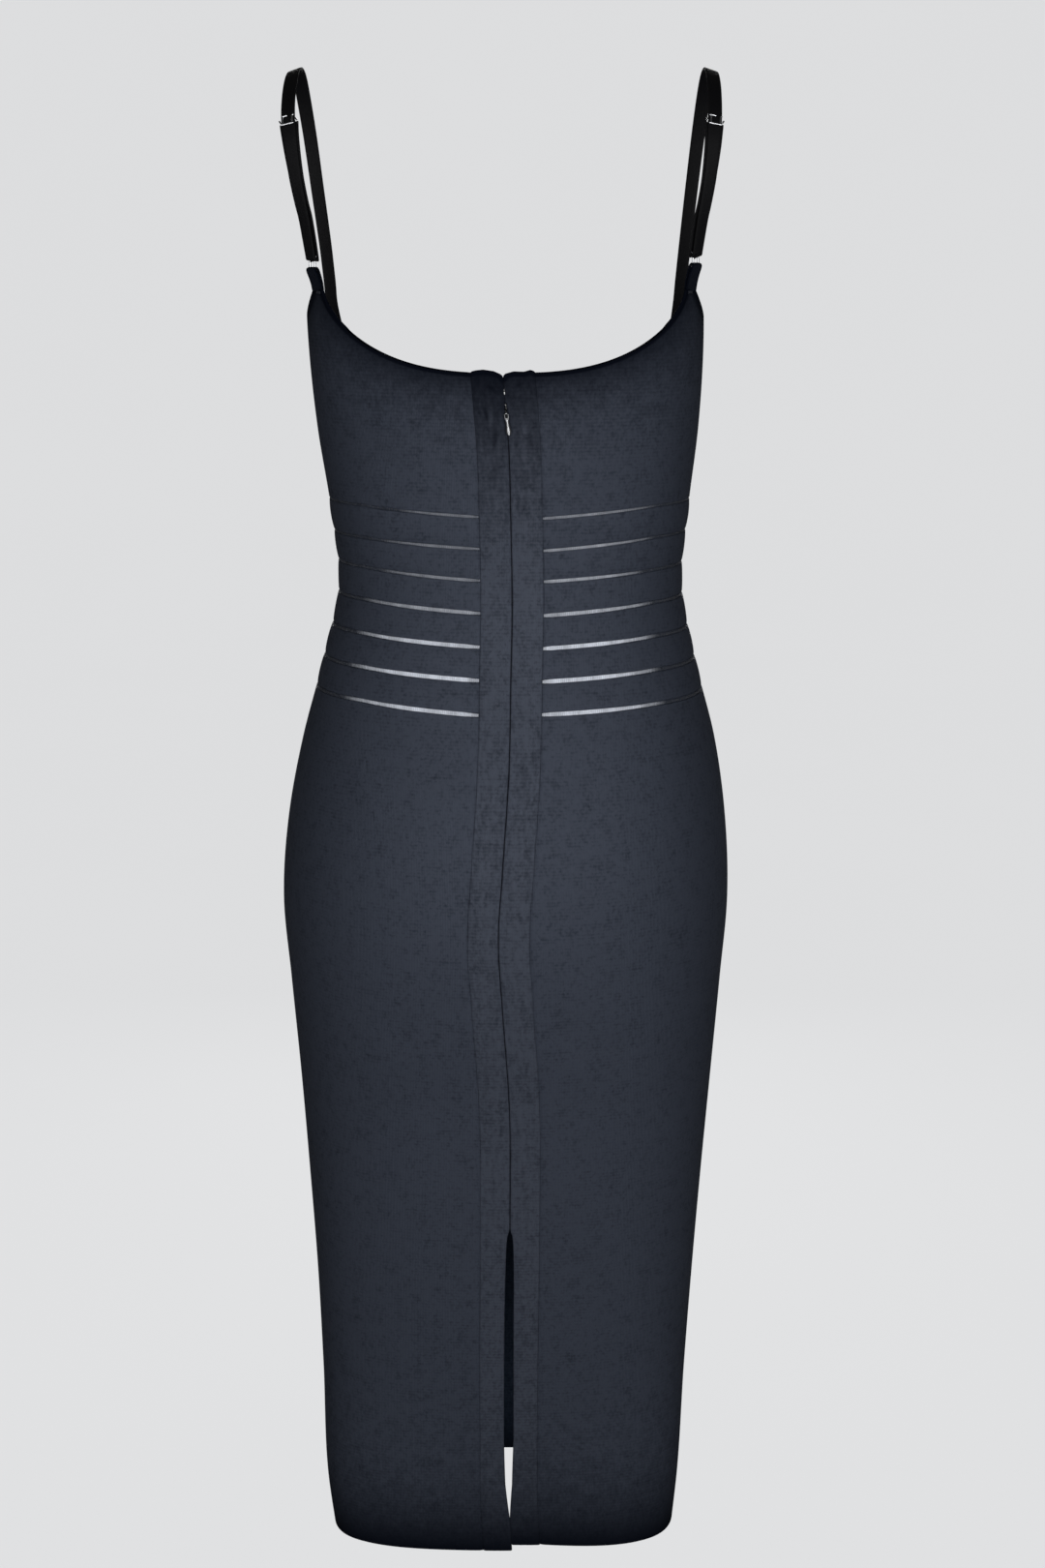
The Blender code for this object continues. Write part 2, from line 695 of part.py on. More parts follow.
StrapFrame = namedtuple("StrapFrame", "middle across along out")


def strap_frames(side):
    """Middle and directions of a strap's outer layer at each row of its path."""
    middles = []
    faces = []
    for row in STRAP_PATH:
        middles.append(Vector((side * row.x + row.shift, row.y, row.z)))
        faces.append(Vector((side * row.nx, row.ny, row.nz)))
    return frames_along(middles, faces)


def frames_along(middles, faces):
    frames = []
    for i, (middle, face) in enumerate(zip(middles, faces)):
        before = middles[max(i - 1, 0)]
        after = middles[min(i + 1, len(middles) - 1)]
        along = (after - before).normalized()
        out = (face - along * face.dot(along)).normalized()
        frames.append(StrapFrame(middle, out.cross(along), along, out))
    return frames


def ring_frame(side):
    """Middle of a ring, with its directions across, up and outwards."""
    out = Vector((side * RING_NORMAL[0], RING_NORMAL[1], RING_NORMAL[2])).normalized()
    up = Vector((side * RING_LEAN[0], RING_LEAN[1], RING_LEAN[2]))
    up = (up - out * up.dot(out)).normalized()
    middle = Vector((side * RING_CENTRE[0], RING_CENTRE[1], RING_HEIGHT[side]))
    return StrapFrame(middle, up.cross(out), up, out)


def make_ring(side, name):
    frame = ring_frame(side)
    points = [
        frame.middle + frame.across * x + frame.along * y
        for x, y in rounded_loop(*RING_SIZE, RING_CORNER)
    ]
    return wire_mesh(name, points, RING_WIRE, closed=True)


def ribbon(name, frames, widths, thickness, material):
    """A flat strip through a run of frames."""

    def place(column, row, is_inner):
        frame = frames[row]
        across = (column - 0.5) * widths[row]
        out = -thickness / 2 if is_inner else thickness / 2
        return frame.middle + frame.across * across + frame.out * out

    return cloth_wall(name, 1, len(frames) - 1, place, material)


def bar_turn(frame, bar_height, radius, upwards):
    """Middles and outward faces of a strip that turns round a bar of the ring."""
    centre = frame.middle + frame.along * bar_height
    middles = []
    faces = []
    for along, out in arc((0.0, 0.0), radius, 90, -90, 6):
        sign = 1 if upwards else -1
        middles.append(centre + frame.out * out + frame.along * along * sign)
        faces.append((frame.out * out + frame.along * along * sign).normalized())
    return middles, faces


def smooth_path(frames, per_span):
    """More rows between the frames of a path, on a smooth curve through them."""
    middles = []
    faces = []
    for i in range(len(frames) - 1):
        around = [frames[min(max(k, 0), len(frames) - 1)].middle for k in range(i - 1, i + 3)]
        for step in range(per_span):
            t = step / per_span
            middles.append(catmull_rom(*around, t))
            faces.append(frames[i].out.lerp(frames[i + 1].out, t))
    middles.append(frames[-1].middle)
    faces.append(frames[-1].out)
    return middles, faces


def catmull_rom(before, start, end, after, t):
    bend = (2 * before - 5 * start + 4 * end - after) * t * t
    rest = (3 * start - before - 3 * end + after) * t * t * t
    return 0.5 * (2 * start + (end - before) * t + bend + rest)


def front_foot(side):
    """The end of the strap sewn to the inside of the front, from its tip upwards."""
    lie = KNIT + SEAM + FOOT_HOLLOW + ELASTIC / 2
    middles = []
    faces = []
    for z in (STRAP_POINT_Z - FOOT_LENGTH, STRAP_POINT_Z - FOOT_LENGTH / 2, STRAP_POINT_Z + 0.002):
        distance = distance_at_x(FRONT, STRAP_POINT_X, z) + STRAP_POINT_WIDTH / 2
        face = body_normal(FRONT, side * distance, z)
        middles.append(body_point(FRONT, side * distance, z) - face * lie)
        faces.append(face)
    return middles, faces


def make_strap(side, name):
    """One length of elastic: from inside the front over the shoulder, through the adjuster,
    round the ring and back up behind itself to the adjuster."""
    frames = strap_frames(side)
    ring = ring_frame(side)
    bar = RING_SIZE[1] / 2
    turn_radius = RING_WIRE + SEAM + RING_PLAY + ELASTIC / 2
    foot_middles, foot_faces = front_foot(side)
    over_middles, over_faces = smooth_path(frames, 2)
    turn_middles, turn_faces = bar_turn(ring, bar, turn_radius, upwards=False)
    back = frames_along(over_middles, over_faces)
    return_middles = []
    return_faces = []
    last = len(over_middles) - 1
    first = 2 * ADJUSTER_ROW
    for i in range(last, first, -1):
        share = (i - first) / (last - first)
        space = blend(LAYER_SPACE, 2 * turn_radius, share**3)
        return_middles.append(back[i].middle - back[i].out * space)
        return_faces.append(-back[i].out)
    return_end = back[first]
    end_gap = ADJUSTER_WIRE + SEAM * 2
    return_middles.append(
        return_end.middle - return_end.out * LAYER_SPACE + return_end.along * end_gap
    )
    return_faces.append(-return_end.out)
    middles = foot_middles + over_middles + turn_middles + return_middles
    faces = foot_faces + over_faces + turn_faces + return_faces
    path = frames_along(middles, faces)
    widths = strap_widths(len(foot_middles), len(over_middles), len(turn_middles),
                          len(return_middles))
    return ribbon(name, path, widths, ELASTIC, "elastic")


def strap_widths(foot, over, turn, back):
    """Width of the elastic at each row: it draws in at the ring and spreads on its way back."""
    widths = [STRAP_WIDTH] * (foot + 2 * ADJUSTER_ROW + 1)
    narrowing = over - (2 * ADJUSTER_ROW + 1)
    for i in range(narrowing):
        widths.append(blend(STRAP_WIDTH, STRAP_WIDTH_AT_RING, (i + 1) / narrowing))
    widths += [STRAP_WIDTH_AT_RING] * turn
    for i in range(back):
        widths.append(blend(STRAP_WIDTH_AT_RING, LOOP_WIDTH, (i + 1) / back))
    return widths


def make_adjuster(side, name):
    """Wire frame in front of the strap, with a middle bar that passes behind it."""
    frame = strap_frames(side)[ADJUSTER_ROW]
    lift = ELASTIC / 2 + SEAM + ADJUSTER_WIRE
    width, height = ADJUSTER_SIZE

    def at(across, along, out):
        return frame.middle + frame.across * across + frame.along * along + frame.out * out

    loop = [at(x, y, lift) for x, y in rounded_loop(width, height, ADJUSTER_CORNER)]
    outer = wire_mesh(name, loop, ADJUSTER_WIRE, closed=True)
    bend = MIDDLE_BAR_BEND
    half = width / 2
    staple = [
        at(-half, 0, lift),
        at(-half, 0, bend - lift),
        at(bend - half, 0, -lift),
        at(half - bend, 0, -lift),
        at(half, 0, bend - lift),
        at(half, 0, lift),
    ]
    middle = wire_mesh("middle_bar_" + name, staple, MIDDLE_BAR_WIRE)
    DRESS.objects.unlink(middle)
    CUTTERS.objects.link(middle)
    middle.hide_render = True
    middle.display_type = "WIRE"
    add_boolean(outer, middle, "UNION")
    return outer


def make_ring_tab(side, name):
    """Narrow knit strip folded over the ring, its two ends on the peak of the back."""
    ring = ring_frame(side)
    turn_radius = RING_WIRE + SEAM + RING_PLAY + ELASTIC / 2
    distance = distance_at_x(BACK, NECK_HALF, NECK_PEAK) + TAB_WIDTH / 2
    base = body_point(BACK, side * distance, NECK_PEAK + 1.5 * SEAM, KNIT / 2)
    base_out = body_normal(BACK, side * distance, NECK_PEAK)
    turn_middles, turn_faces = bar_turn(ring, -RING_SIZE[1] / 2, turn_radius, upwards=True)
    rise_steps = 3
    legs = []
    for layer in (1, -1):
        middles = []
        faces = []
        top = turn_middles[0] if layer == 1 else turn_middles[-1]
        for i in range(rise_steps):
            share = i / rise_steps
            foot = base + base_out * layer * (ELASTIC + SEAM) / 2
            middle = foot.lerp(top, share**1.5)
            middle.z = blend(foot.z, top.z, share)
            middles.append(middle)
            faces.append((base_out.lerp(ring.out, share)) * layer)
        legs.append((middles, faces))
    middles = legs[0][0] + turn_middles + legs[1][0][::-1]
    faces = legs[0][1] + turn_faces + legs[1][1][::-1]
    path = frames_along(middles, faces)
    level = base_out.cross(Vector((0, 0, 1)))
    path[0] = path[0]._replace(across=level, out=base_out)
    path[-1] = path[-1]._replace(across=level, out=-base_out)
    return ribbon(name, path, [TAB_WIDTH * TAB_DRAW_IN] * len(path), ELASTIC, "knit")


# ---------------------------------------------------------------- build


def main():
    make_front()
    make_back(LEFT, "back_left", HEM_LEFT, HEM_SAG_LEFT)
    make_back(RIGHT, "back_right", HEM_RIGHT, HEM_SAG_RIGHT)
    make_band(LEFT, "zip_band_left", HEM_LEFT)
    make_band(RIGHT, "zip_band_right", HEM_RIGHT)
    make_zip_tape(LEFT, "zip_tape_left")
    make_zip_tape(RIGHT, "zip_tape_right")
    make_zip_slider()
    make_zip_pull()
    make_hook_and_eye()
    for side, word in ((LEFT, "left"), (RIGHT, "right")):
        make_ring_tab(side, "ring_tab_" + word)
        make_ring(side, "strap_ring_" + word)
        make_strap(side, "strap_" + word)
        make_adjuster(side, "strap_adjuster_" + word)


main()
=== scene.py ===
"""Bodycon midi dress in heavy bandage knit, with a concealed centre-back zip.

Laid out as a Blender add-on and run as a script: main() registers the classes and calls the
operators in order. Metres, +Z up. The back of the dress
faces -Y and the wearer's left is -X.
"""

import math
from collections import namedtuple
from functools import lru_cache

import bmesh
import bpy
import numpy as np
from bpy.props import FloatProperty, FloatVectorProperty, PointerProperty
from mathutils import Matrix, Vector


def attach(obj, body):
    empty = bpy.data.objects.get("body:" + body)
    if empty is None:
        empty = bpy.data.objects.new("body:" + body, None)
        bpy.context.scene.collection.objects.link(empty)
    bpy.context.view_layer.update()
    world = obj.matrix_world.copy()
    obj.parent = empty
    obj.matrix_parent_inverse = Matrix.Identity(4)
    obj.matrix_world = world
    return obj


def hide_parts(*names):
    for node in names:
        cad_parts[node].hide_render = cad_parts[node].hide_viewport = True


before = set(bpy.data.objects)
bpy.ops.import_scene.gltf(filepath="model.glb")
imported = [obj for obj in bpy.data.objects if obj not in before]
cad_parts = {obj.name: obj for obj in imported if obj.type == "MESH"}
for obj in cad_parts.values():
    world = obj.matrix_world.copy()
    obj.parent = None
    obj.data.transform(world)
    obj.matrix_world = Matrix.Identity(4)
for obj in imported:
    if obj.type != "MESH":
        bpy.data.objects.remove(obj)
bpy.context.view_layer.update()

bl_info = {
    "name": "Bodycon dress",
    "version": (1, 0, 0),
    "blender": (4, 5, 0),
    "location": "3D View > Sidebar > Dress",
    "description": "Builds a bandage-knit bodycon dress, its zip and its straps",
    "category": "Object",
}

# ---------------------------------------------------------------- sizes shared with the solids
SEAM = 0.0003
KNIT = 0.0020
BAND_RAISE = 0.0003
BAND_WIDTH = 0.0214
LEFT, RIGHT = -1, 1
BACK, FRONT = -1, 1
SIDES = ((LEFT, "left"), (RIGHT, "right"))

# Level sections of the worn dress: half its width, how deep it is behind and before its middle,
# how square its outline is, and how far its middle lies to the right.
Section = namedtuple("Section", "z half_width back front square shift")
SECTIONS = (
    Section(-1.079, 0.1300, 0.061, 0.059, 3.6, -0.0025),
    Section(-1.040, 0.1342, 0.064, 0.062, 3.4, -0.0030),
    Section(-0.947, 0.1378, 0.071, 0.071, 2.8, -0.0020),
    Section(-0.867, 0.1415, 0.079, 0.079, 2.6, -0.0010),
    Section(-0.788, 0.1463, 0.088, 0.085, 2.5, -0.0005),
    Section(-0.711, 0.1516, 0.098, 0.092, 2.4, 0.0000),
    Section(-0.635, 0.1573, 0.112, 0.098, 2.3, 0.0000),
    Section(-0.576, 0.1615, 0.119, 0.100, 2.2, 0.0000),
    Section(-0.518, 0.1578, 0.117, 0.100, 2.2, 0.0010),
    Section(-0.460, 0.1478, 0.105, 0.097, 2.2, 0.0024),
    Section(-0.404, 0.1328, 0.090, 0.091, 2.2, 0.0028),
    Section(-0.348, 0.1211, 0.080, 0.088, 2.2, 0.0037),
    Section(-0.293, 0.1256, 0.081, 0.094, 2.3, 0.0032),
    Section(-0.239, 0.1324, 0.086, 0.103, 2.4, 0.0022),
    Section(-0.172, 0.1362, 0.092, 0.097, 2.7, 0.0008),
    Section(-0.140, 0.1360, 0.094, 0.090, 2.8, 0.0000),
)

# Ladder rows: height and width of each, how pale its yarn shows on each half of the back, and
# how far off the middle it shows.
Ladder = namedtuple("Ladder", "z width pale_left pale_right end_left end_right")
LADDERS = (
    Ladder(-0.2900, 0.0015, 0.22, 0.33, 0.0764, 0.1065),
    Ladder(-0.3125, 0.0017, 0.25, 0.44, 0.0910, 0.1045),
    Ladder(-0.3350, 0.0019, 0.29, 0.52, 0.0940, 0.0975),
    Ladder(-0.3575, 0.0022, 0.46, 0.62, 0.1095, 0.1065),
    Ladder(-0.3800, 0.0024, 0.84, 0.96, 0.1160, 0.1090),
    Ladder(-0.4025, 0.0025, 1.00, 1.00, 0.1210, 0.1115),
    Ladder(-0.4250, 0.0023, 0.92, 0.98, 0.1255, 0.1165),
)
LADDER_DEPTH = 0.0009
LADDER_EDGE = 0.0004
STRIP_DOME = 0.0007
STRIP_FULLNESS = 0.8  # below 1 the strips between the rows are flatter on top
PALE_RUN = ((0.0, 0.55), (0.06, 0.85), (0.45, 1.0), (0.70, 0.82), (0.88, 0.42), (1.0, 0.0))
# Painted glints along each ladder row: how strongly the yarn's pale colour rises and falls, and
# their spacing.
PALE_GLINT, PALE_GLINT_SPACE = 0.22, 0.017
PALE_TAPER = ((0.0, 0.6), (0.08, 1.0), (0.50, 0.95), (0.80, 0.6), (1.0, 0.4))
FRONT_PALE, FRONT_PALE_END = 0.8, 0.110  # how pale the rows of the front show, and how far round

# How far the rows of the waist climb on their way round each half of the back: beside the
# zip band, and from two thirds of the way to the side seam on.
Climb = namedtuple("Climb", "z near_left near_right far_left far_right")
ROW_CLIMB = (
    Climb(-0.4550, 0.0000, 0.0000, 0.0024, 0.0012),
    Climb(-0.4250, 0.0000, 0.0003, 0.0050, 0.0026),
    Climb(-0.4025, 0.0004, -0.0006, 0.0046, 0.0026),
    Climb(-0.3800, 0.0000, -0.0012, 0.0044, 0.0026),
    Climb(-0.3575, 0.0000, -0.0018, 0.0048, 0.0028),
    Climb(-0.3350, -0.0005, -0.0013, 0.0046, 0.0028),
    Climb(-0.3125, -0.0014, -0.0029, 0.0028, 0.0030),
    Climb(-0.2900, -0.0022, -0.0034, 0.0028, 0.0024),
    Climb(-0.2600, -0.0006, -0.0010, 0.0006, 0.0006),
    Climb(-0.2400, 0.0000, 0.0000, 0.0000, 0.0000),
)
CLIMB_RUN = 0.085

# How far right of the middle the centre back seam runs.
Seam = namedtuple("Seam", "z offset")
CENTRE_SEAM = (
    Seam(-1.079, 0.0070),
    Seam(-1.048, 0.0056),
    Seam(-0.980, 0.0045),
    Seam(-0.874, 0.0036),
    Seam(-0.815, 0.0038),
    Seam(-0.700, 0.0027),
    Seam(-0.634, -0.0013),
    Seam(-0.576, -0.0042),
    Seam(-0.528, -0.0020),
    Seam(-0.460, 0.0008),
    Seam(-0.400, 0.0016),
    Seam(-0.290, 0.0012),
    Seam(-0.245, 0.0008),
    Seam(-0.223, -0.0004),
    Seam(-0.197, -0.0020),
)

# Space between the zip bands: the walking vent, and round the slider and the hook. Below zero
# the bands overlap.
Opening = namedtuple("Opening", "z width")
BAND_GAP = (
    Opening(-1.079, -0.0002),
    Opening(-1.050, -0.0002),
    Opening(-1.020, 0.0048),
    Opening(-0.980, 0.0070),
    Opening(-0.940, 0.0068),
    Opening(-0.900, 0.0066),
    Opening(-0.857, 0.0063),
    Opening(-0.830, 0.0054),
    Opening(-0.818, 0.0047),
    Opening(-0.811, 0.0036),
    Opening(-0.805, SEAM),
    Opening(-0.2322, SEAM),
    Opening(-0.2268, 0.0014),
    Opening(-0.2185, 0.0014),
    Opening(-0.2165, -0.0002),
    Opening(-0.2110, -0.0002),
    Opening(-0.2095, 0.0005),
    Opening(-0.2080, 0.0005),
    Opening(-0.2065, -0.0002),
    Opening(-0.1970, -0.0002),
)

HEM = {LEFT: -1.0775, RIGHT: -1.0725}
HEM_SAG = {LEFT: 0.0005, RIGHT: 0.0036}
HEM_FRONT = -1.0600
SKIRT_BASE = -1.050
WAIST_BASE = -0.455
BODICE_BASE = -0.2835

NECK_PEAK = -0.1430
NECK_DROP = 0.0525
NECK_HALF = 0.1215
NECK_FLATNESS = 2.7
NECK_RISE = 1.5
NECK_COLUMNS = 8
ARMHOLE_COLUMNS = 2
TAB_WIDTH = 0.010
SIDE_TOP = -0.1650

STRAP_POINT_Z = -0.1870
STRAP_POINT_X = 0.1180
STRAP_POINT_WIDTH = 0.0100
SWEETHEART_DIP = -0.2550
SWEETHEART_SWELL = 1.5
CUP_RISE = 0.016
CUP_X, CUP_Z = 0.066, -0.262
CUP_REACH_X, CUP_REACH_Z = 0.052, 0.058
FALL_START = 0.15  # how softly the front's armhole sets off below the strap
FALL_LENGTH = 0.8612

ZIP_SLIDER_Z = -0.2225
ZIP_TAPE_TOP = -0.2135
ZIP_TAPE_FORK = -0.2280
ZIP_TAPE_PARTING = -0.2315  # from here up to the fork the tapes draw apart
ZIP_TAPE_END = -0.665
ZIP_TAPE_WIDTH = 0.012
ZIP_TAPE = 0.0010
SLIDER_BODY = (0.0052, 0.0024, 0.0086)
SLIDER_BODY_RISE = 0.0006
BRIDGE_HALF_LENGTH = 0.0026
BRIDGE_RISE = 0.0028
PULL_THICK, PULL_LENGTH = 0.0009, 0.0150
PULL_WINDOW = 0.0032
PULL_STAND_OFF = 0.0010
PULL_LEAN = math.radians(8)

HOOK_Z = -0.2084
HOOK_WIRE = 0.00035
EYE_LENGTH = 0.0052
EYE_LOOP = 0.0016
EYE_REACH = 0.0012
HOOK_LENGTH = 0.0054
HOOK_BEND = 0.0010
HOOK_REACH = 0.0003

ELASTIC = 0.0011
STRAP_WIDTH = 0.0098
STRAP_WIDTH_AT_RING = 0.0086
LOOP_WIDTH = 0.0134
LAYER_SPACE = 0.0015
FOOT_LENGTH = 0.012
FOOT_HOLLOW = 0.0006
FOOT_RISE = 0.002
RING_WIRE = 0.0007
RING_SIZE = (0.0104, 0.0086)
RING_CORNER = 0.0014
RING_PLAY = 0.0002
RING_CENTRE = (0.1275, -0.0535)
RING_HEIGHT = {LEFT: -0.1266, RIGHT: -0.1238}
RING_NORMAL = (0.62, -0.78, 0.0)
RING_LEAN = (0.12, -0.10, 0.985)
ADJUSTER_WIRE = 0.0006
ADJUSTER_SIZE = (0.0112, 0.0061)
ADJUSTER_CORNER = 0.0012
MIDDLE_BAR_WIRE = 0.00054
MIDDLE_BAR_BEND = 0.0006
ADJUSTER_ROW = 10

# Right strap from the front over the shoulder: middle, the way that it faces, and how far both
# straps lie to the right of their mirrored places.
StrapPoint = namedtuple("StrapPoint", "x y z nx ny nz shift")
STRAP_PATH = (
    StrapPoint(0.1235, 0.0605, -0.160, 0.62, 0.78, 0.00, 0.0000),
    StrapPoint(0.1275, 0.0625, -0.120, 0.55, 0.83, 0.05, 0.0000),
    StrapPoint(0.1318, 0.0590, -0.080, 0.48, 0.84, 0.25, -0.0004),
    StrapPoint(0.1352, 0.0495, -0.045, 0.40, 0.74, 0.54, -0.0006),
    StrapPoint(0.1375, 0.0350, -0.0205, 0.34, 0.48, 0.81, -0.0008),
    StrapPoint(0.1388, 0.0175, -0.0055, 0.32, 0.22, 0.92, -0.0008),
    StrapPoint(0.1398, 0.0000, -0.0004, 0.32, 0.00, 0.95, -0.0008),
    StrapPoint(0.1403, -0.0170, -0.0035, 0.31, -0.26, 0.91, -0.0010),
    StrapPoint(0.1405, -0.0340, -0.0115, 0.30, -0.50, 0.81, -0.0012),
    StrapPoint(0.1403, -0.0490, -0.0235, 0.28, -0.70, 0.65, -0.0014),
    StrapPoint(0.1397, -0.0585, -0.0350, 0.28, -0.82, 0.48, -0.0014),
    StrapPoint(0.1384, -0.0650, -0.0500, 0.32, -0.88, 0.28, -0.0010),
    StrapPoint(0.1356, -0.0665, -0.0740, 0.42, -0.88, 0.05, -0.0006),
    StrapPoint(0.1314, -0.0615, -0.0990, 0.55, -0.82, -0.06, -0.0003),
)

# ---------------------------------------------------------------- sizes of the finish
EDGE_ROLL = 0.0008  # how far a free cloth edge rounds out past the last full thickness
SEWN_ROLL = 0.00035  # the same for an edge that is sewn to its neighbour
SEWN_OVER = 0.0003  # how far a sewn edge presses past the seam line
PEAK_SPREAD = 0.0030  # how far the sewn-over peak of the back spreads past its tab
TAB_SEWN_IN = 0.0012  # how far the tab's foot reaches below the top of the peak
TAB_WIDTH_AT_RING = 0.0078
TAB_WIDTH_AT_FOOT = 0.0098
TAB_SHIFT = 0.0012  # how far outwards the tab's foot is sewn
TAB_TWIST = 0.8  # how far the foot has turned to face as the ring does, from 0 to 1

# Rows, columns and steps of the meshes.
SKIRT_ROW_SPACE = 0.0045
BODICE_ROWS = 44
BODICE_CROWDING = 1.3  # above 1 the rows lie closer together towards the top edge
STRIP_ROWS = 5
HEM_ROWS = 6
BAND_ROW_SPACE = 0.0015
BAND_COLUMNS = 20
BAND_HEM_ROWS, BAND_TOP_ROWS = 21, 69
NECK_STEPS, PEAK_STEPS, ARMHOLE_STEPS = 38, 4, 10
TAPE_ROW_SPACE = 0.003
TAPE_COLUMNS = 6
RIBBON_COLUMNS = 8
SHOULDER_STEPS, STRIP_STEPS, TURN_STEPS = 2, 4, 6  # of straps and tabs, between their middles
PULL_COLUMNS = 4

# Painted shade on the knit: the near-black navy that it darkens towards, then each darkening with
# how far it reaches: along the top and the armhole, at the hem, and down from the top of each
# band.
PAINTED_SHADE_NAVY = (0.0005, 0.0013, 0.0040)
TOP_SHADE, TOP_SHADE_REACH, TOP_LINE = 0.80, 0.028, (0.0020, 0.0050)
ARMHOLE_SHADE, ARMHOLE_LINE = 0.92, (0.0050, 0.0120)
HEM_SHADE, HEM_SHADE_REACH = 0.97, 0.050
BAND_SHADE = {LEFT: (0.92, 0.060), RIGHT: (0.84, 0.048)}
FOLD_SHADE, FOLD_FULL = 0.30, 0.0002  # painted shade in the folds of a band, full at this pucker
CREASE_SHADE = 350  # painted shade in the sunk creases of the bands and painted light on the raised ones, for each metre of their depth

# Pitches of the weaves.
BANDAGE_RIB = 0.0024
TAPE_TWILL, TAPE_WEFT = 0.0007, 0.0005
ELASTIC_RIB, ELASTIC_YARN = 0.00085, 0.00045

# Ruffled top of each band: share of its width from the zip outwards, and height.
BAND_TOPS = {
    LEFT: (
        (0.0, -0.0030), (0.09, -0.0012), (0.30, 0.0008), (0.62, 0.0017), (0.85, 0.0010),
        (1.0, 0.0),
    ),
    RIGHT: (
        (0.0, -0.0030), (0.10, -0.0008), (0.34, 0.0006), (0.66, 0.0003), (0.86, 0.0014),
        (1.0, 0.0),
    ),
}
BAND_CROWN = 0.0003  # how much higher a band is along its middle
BAND_SINK = 0.0004  # how deep its puckers may go
BAND_STREAKS = 3.4  # upright streaks across its width
BAND_BLOT, BAND_GATHER = 0.017, 0.0061  # lengths of its broad and of its small puckers

# How strongly the bands pucker at each height.
Pucker = namedtuple("Pucker", "z amount")
PUCKERS = (
    Pucker(-1.079, 0.5), Pucker(-1.000, 0.4), Pucker(-0.860, 0.5), Pucker(-0.760, 0.9),
    Pucker(-0.640, 1.2), Pucker(-0.560, 1.3), Pucker(-0.470, 1.0), Pucker(-0.430, 0.5),
    Pucker(-0.300, 0.5), Pucker(-0.270, 1.0), Pucker(-0.240, 1.4), Pucker(-0.197, 1.2),
)

# Soft creases: start and end as distance round and height, reach to each side, and how far the
# cloth stands up there (below zero it sinks). They wander by a share of their reach and swing
# in height.
CREASE_WANDER, CREASE_SWING = 0.25, 0.3
Crease = namedtuple("Crease", "face start_x start_z end_x end_z reach rise")
CREASES = (
    Crease(BACK, -0.105, -0.452, -0.030, -0.470, 0.010, -0.0007),
    Crease(BACK, 0.028, -0.474, 0.110, -0.450, 0.011, -0.0007),
    Crease(BACK, -0.120, -0.480, -0.045, -0.505, 0.014, 0.0006),
    Crease(BACK, 0.050, -0.500, 0.125, -0.486, 0.013, 0.0005),
    Crease(BACK, -0.095, -0.655, -0.028, -0.640, 0.016, -0.0008),
    Crease(BACK, 0.026, -0.640, 0.100, -0.668, 0.016, -0.0008),
    Crease(BACK, -0.100, -0.240, -0.060, -0.275, 0.009, -0.0005),
    Crease(BACK, 0.070, -0.235, 0.110, -0.268, 0.009, -0.0005),
    Crease(FRONT, -0.120, -0.465, -0.030, -0.480, 0.012, -0.0008),
    Crease(FRONT, 0.020, -0.478, 0.118, -0.460, 0.012, -0.0008),
    Crease(FRONT, -0.110, -0.620, -0.020, -0.600, 0.018, 0.0008),
    Crease(FRONT, 0.030, -0.606, 0.112, -0.630, 0.018, 0.0007),
    Crease(FRONT, -0.020, -0.285, 0.018, -0.300, 0.010, -0.0006),
)

# Small creases of the zip bands round the slider and pull.
BAND_CREASES = (
    Crease(BACK, -0.0150, -0.2150, -0.0125, -0.2330, 0.0012, -0.0003),
    Crease(BACK, -0.0105, -0.2170, -0.0128, -0.2380, 0.0013, 0.0003),
    Crease(BACK, -0.0075, -0.2300, -0.0095, -0.2480, 0.0012, -0.0004),
    Crease(BACK, -0.0040, -0.2385, -0.0062, -0.2500, 0.0010, 0.0003),
    Crease(BACK, 0.0045, -0.2370, 0.0068, -0.2500, 0.0011, -0.0003),
    Crease(BACK, 0.0100, -0.2270, 0.0140, -0.2430, 0.0013, 0.0004),
    Crease(BACK, 0.0155, -0.2340, 0.0165, -0.2490, 0.0012, -0.0004),
    Crease(BACK, 0.0060, -0.2060, 0.0120, -0.2010, 0.0012, -0.0003),
    Crease(BACK, -0.0140, -0.2035, -0.0060, -0.2090, 0.0013, -0.0003),
)

# Strands of the ladder rows: how far each reaches into the strips as a share of the row's
# edge, how far it lies under the face of the knit, how far it leans and how far it may stand
# off its place, as a share of the pitch.
STRAND_RADIUS = 0.00017
STRAND_HOLD = 0.6
STRAND_SINK = 0.00062
STRAND_LEAN = 0.0004
STRAND_STRAY = 0.35
STRAND_START, STRAND_END = 0.0012, 0.001  # how far off the band and the side seam they begin

# Sewing: the thread's taper and dip at the ends of a stitch, where the stitch's ends lie in its
# length, the seams of the zip tape, and the bar tacks as width, height and rows.
THREAD_RADIUS = 0.0002
THREAD_TAPER, THREAD_DIP = 0.55, 1.3
STITCH_ENDS = (0.10, 0.90)
TAPE_SEAMS = (0.0048, ZIP_TAPE_WIDTH - 0.0014)
TAPE_SEAM_BASE, TAPE_SEAM_TOP, TAPE_SEAM_STEP = 0.004, 0.002, 0.004
TAB_TACK, TAB_TACK_DROP = (0.0066, 0.0016, 7), 0.0022
FOOT_TACK, FOOT_TACK_RISE = (0.0070, 0.0014, 6), 0.002
END_TACK = (0.0090, 0.0014, 7)

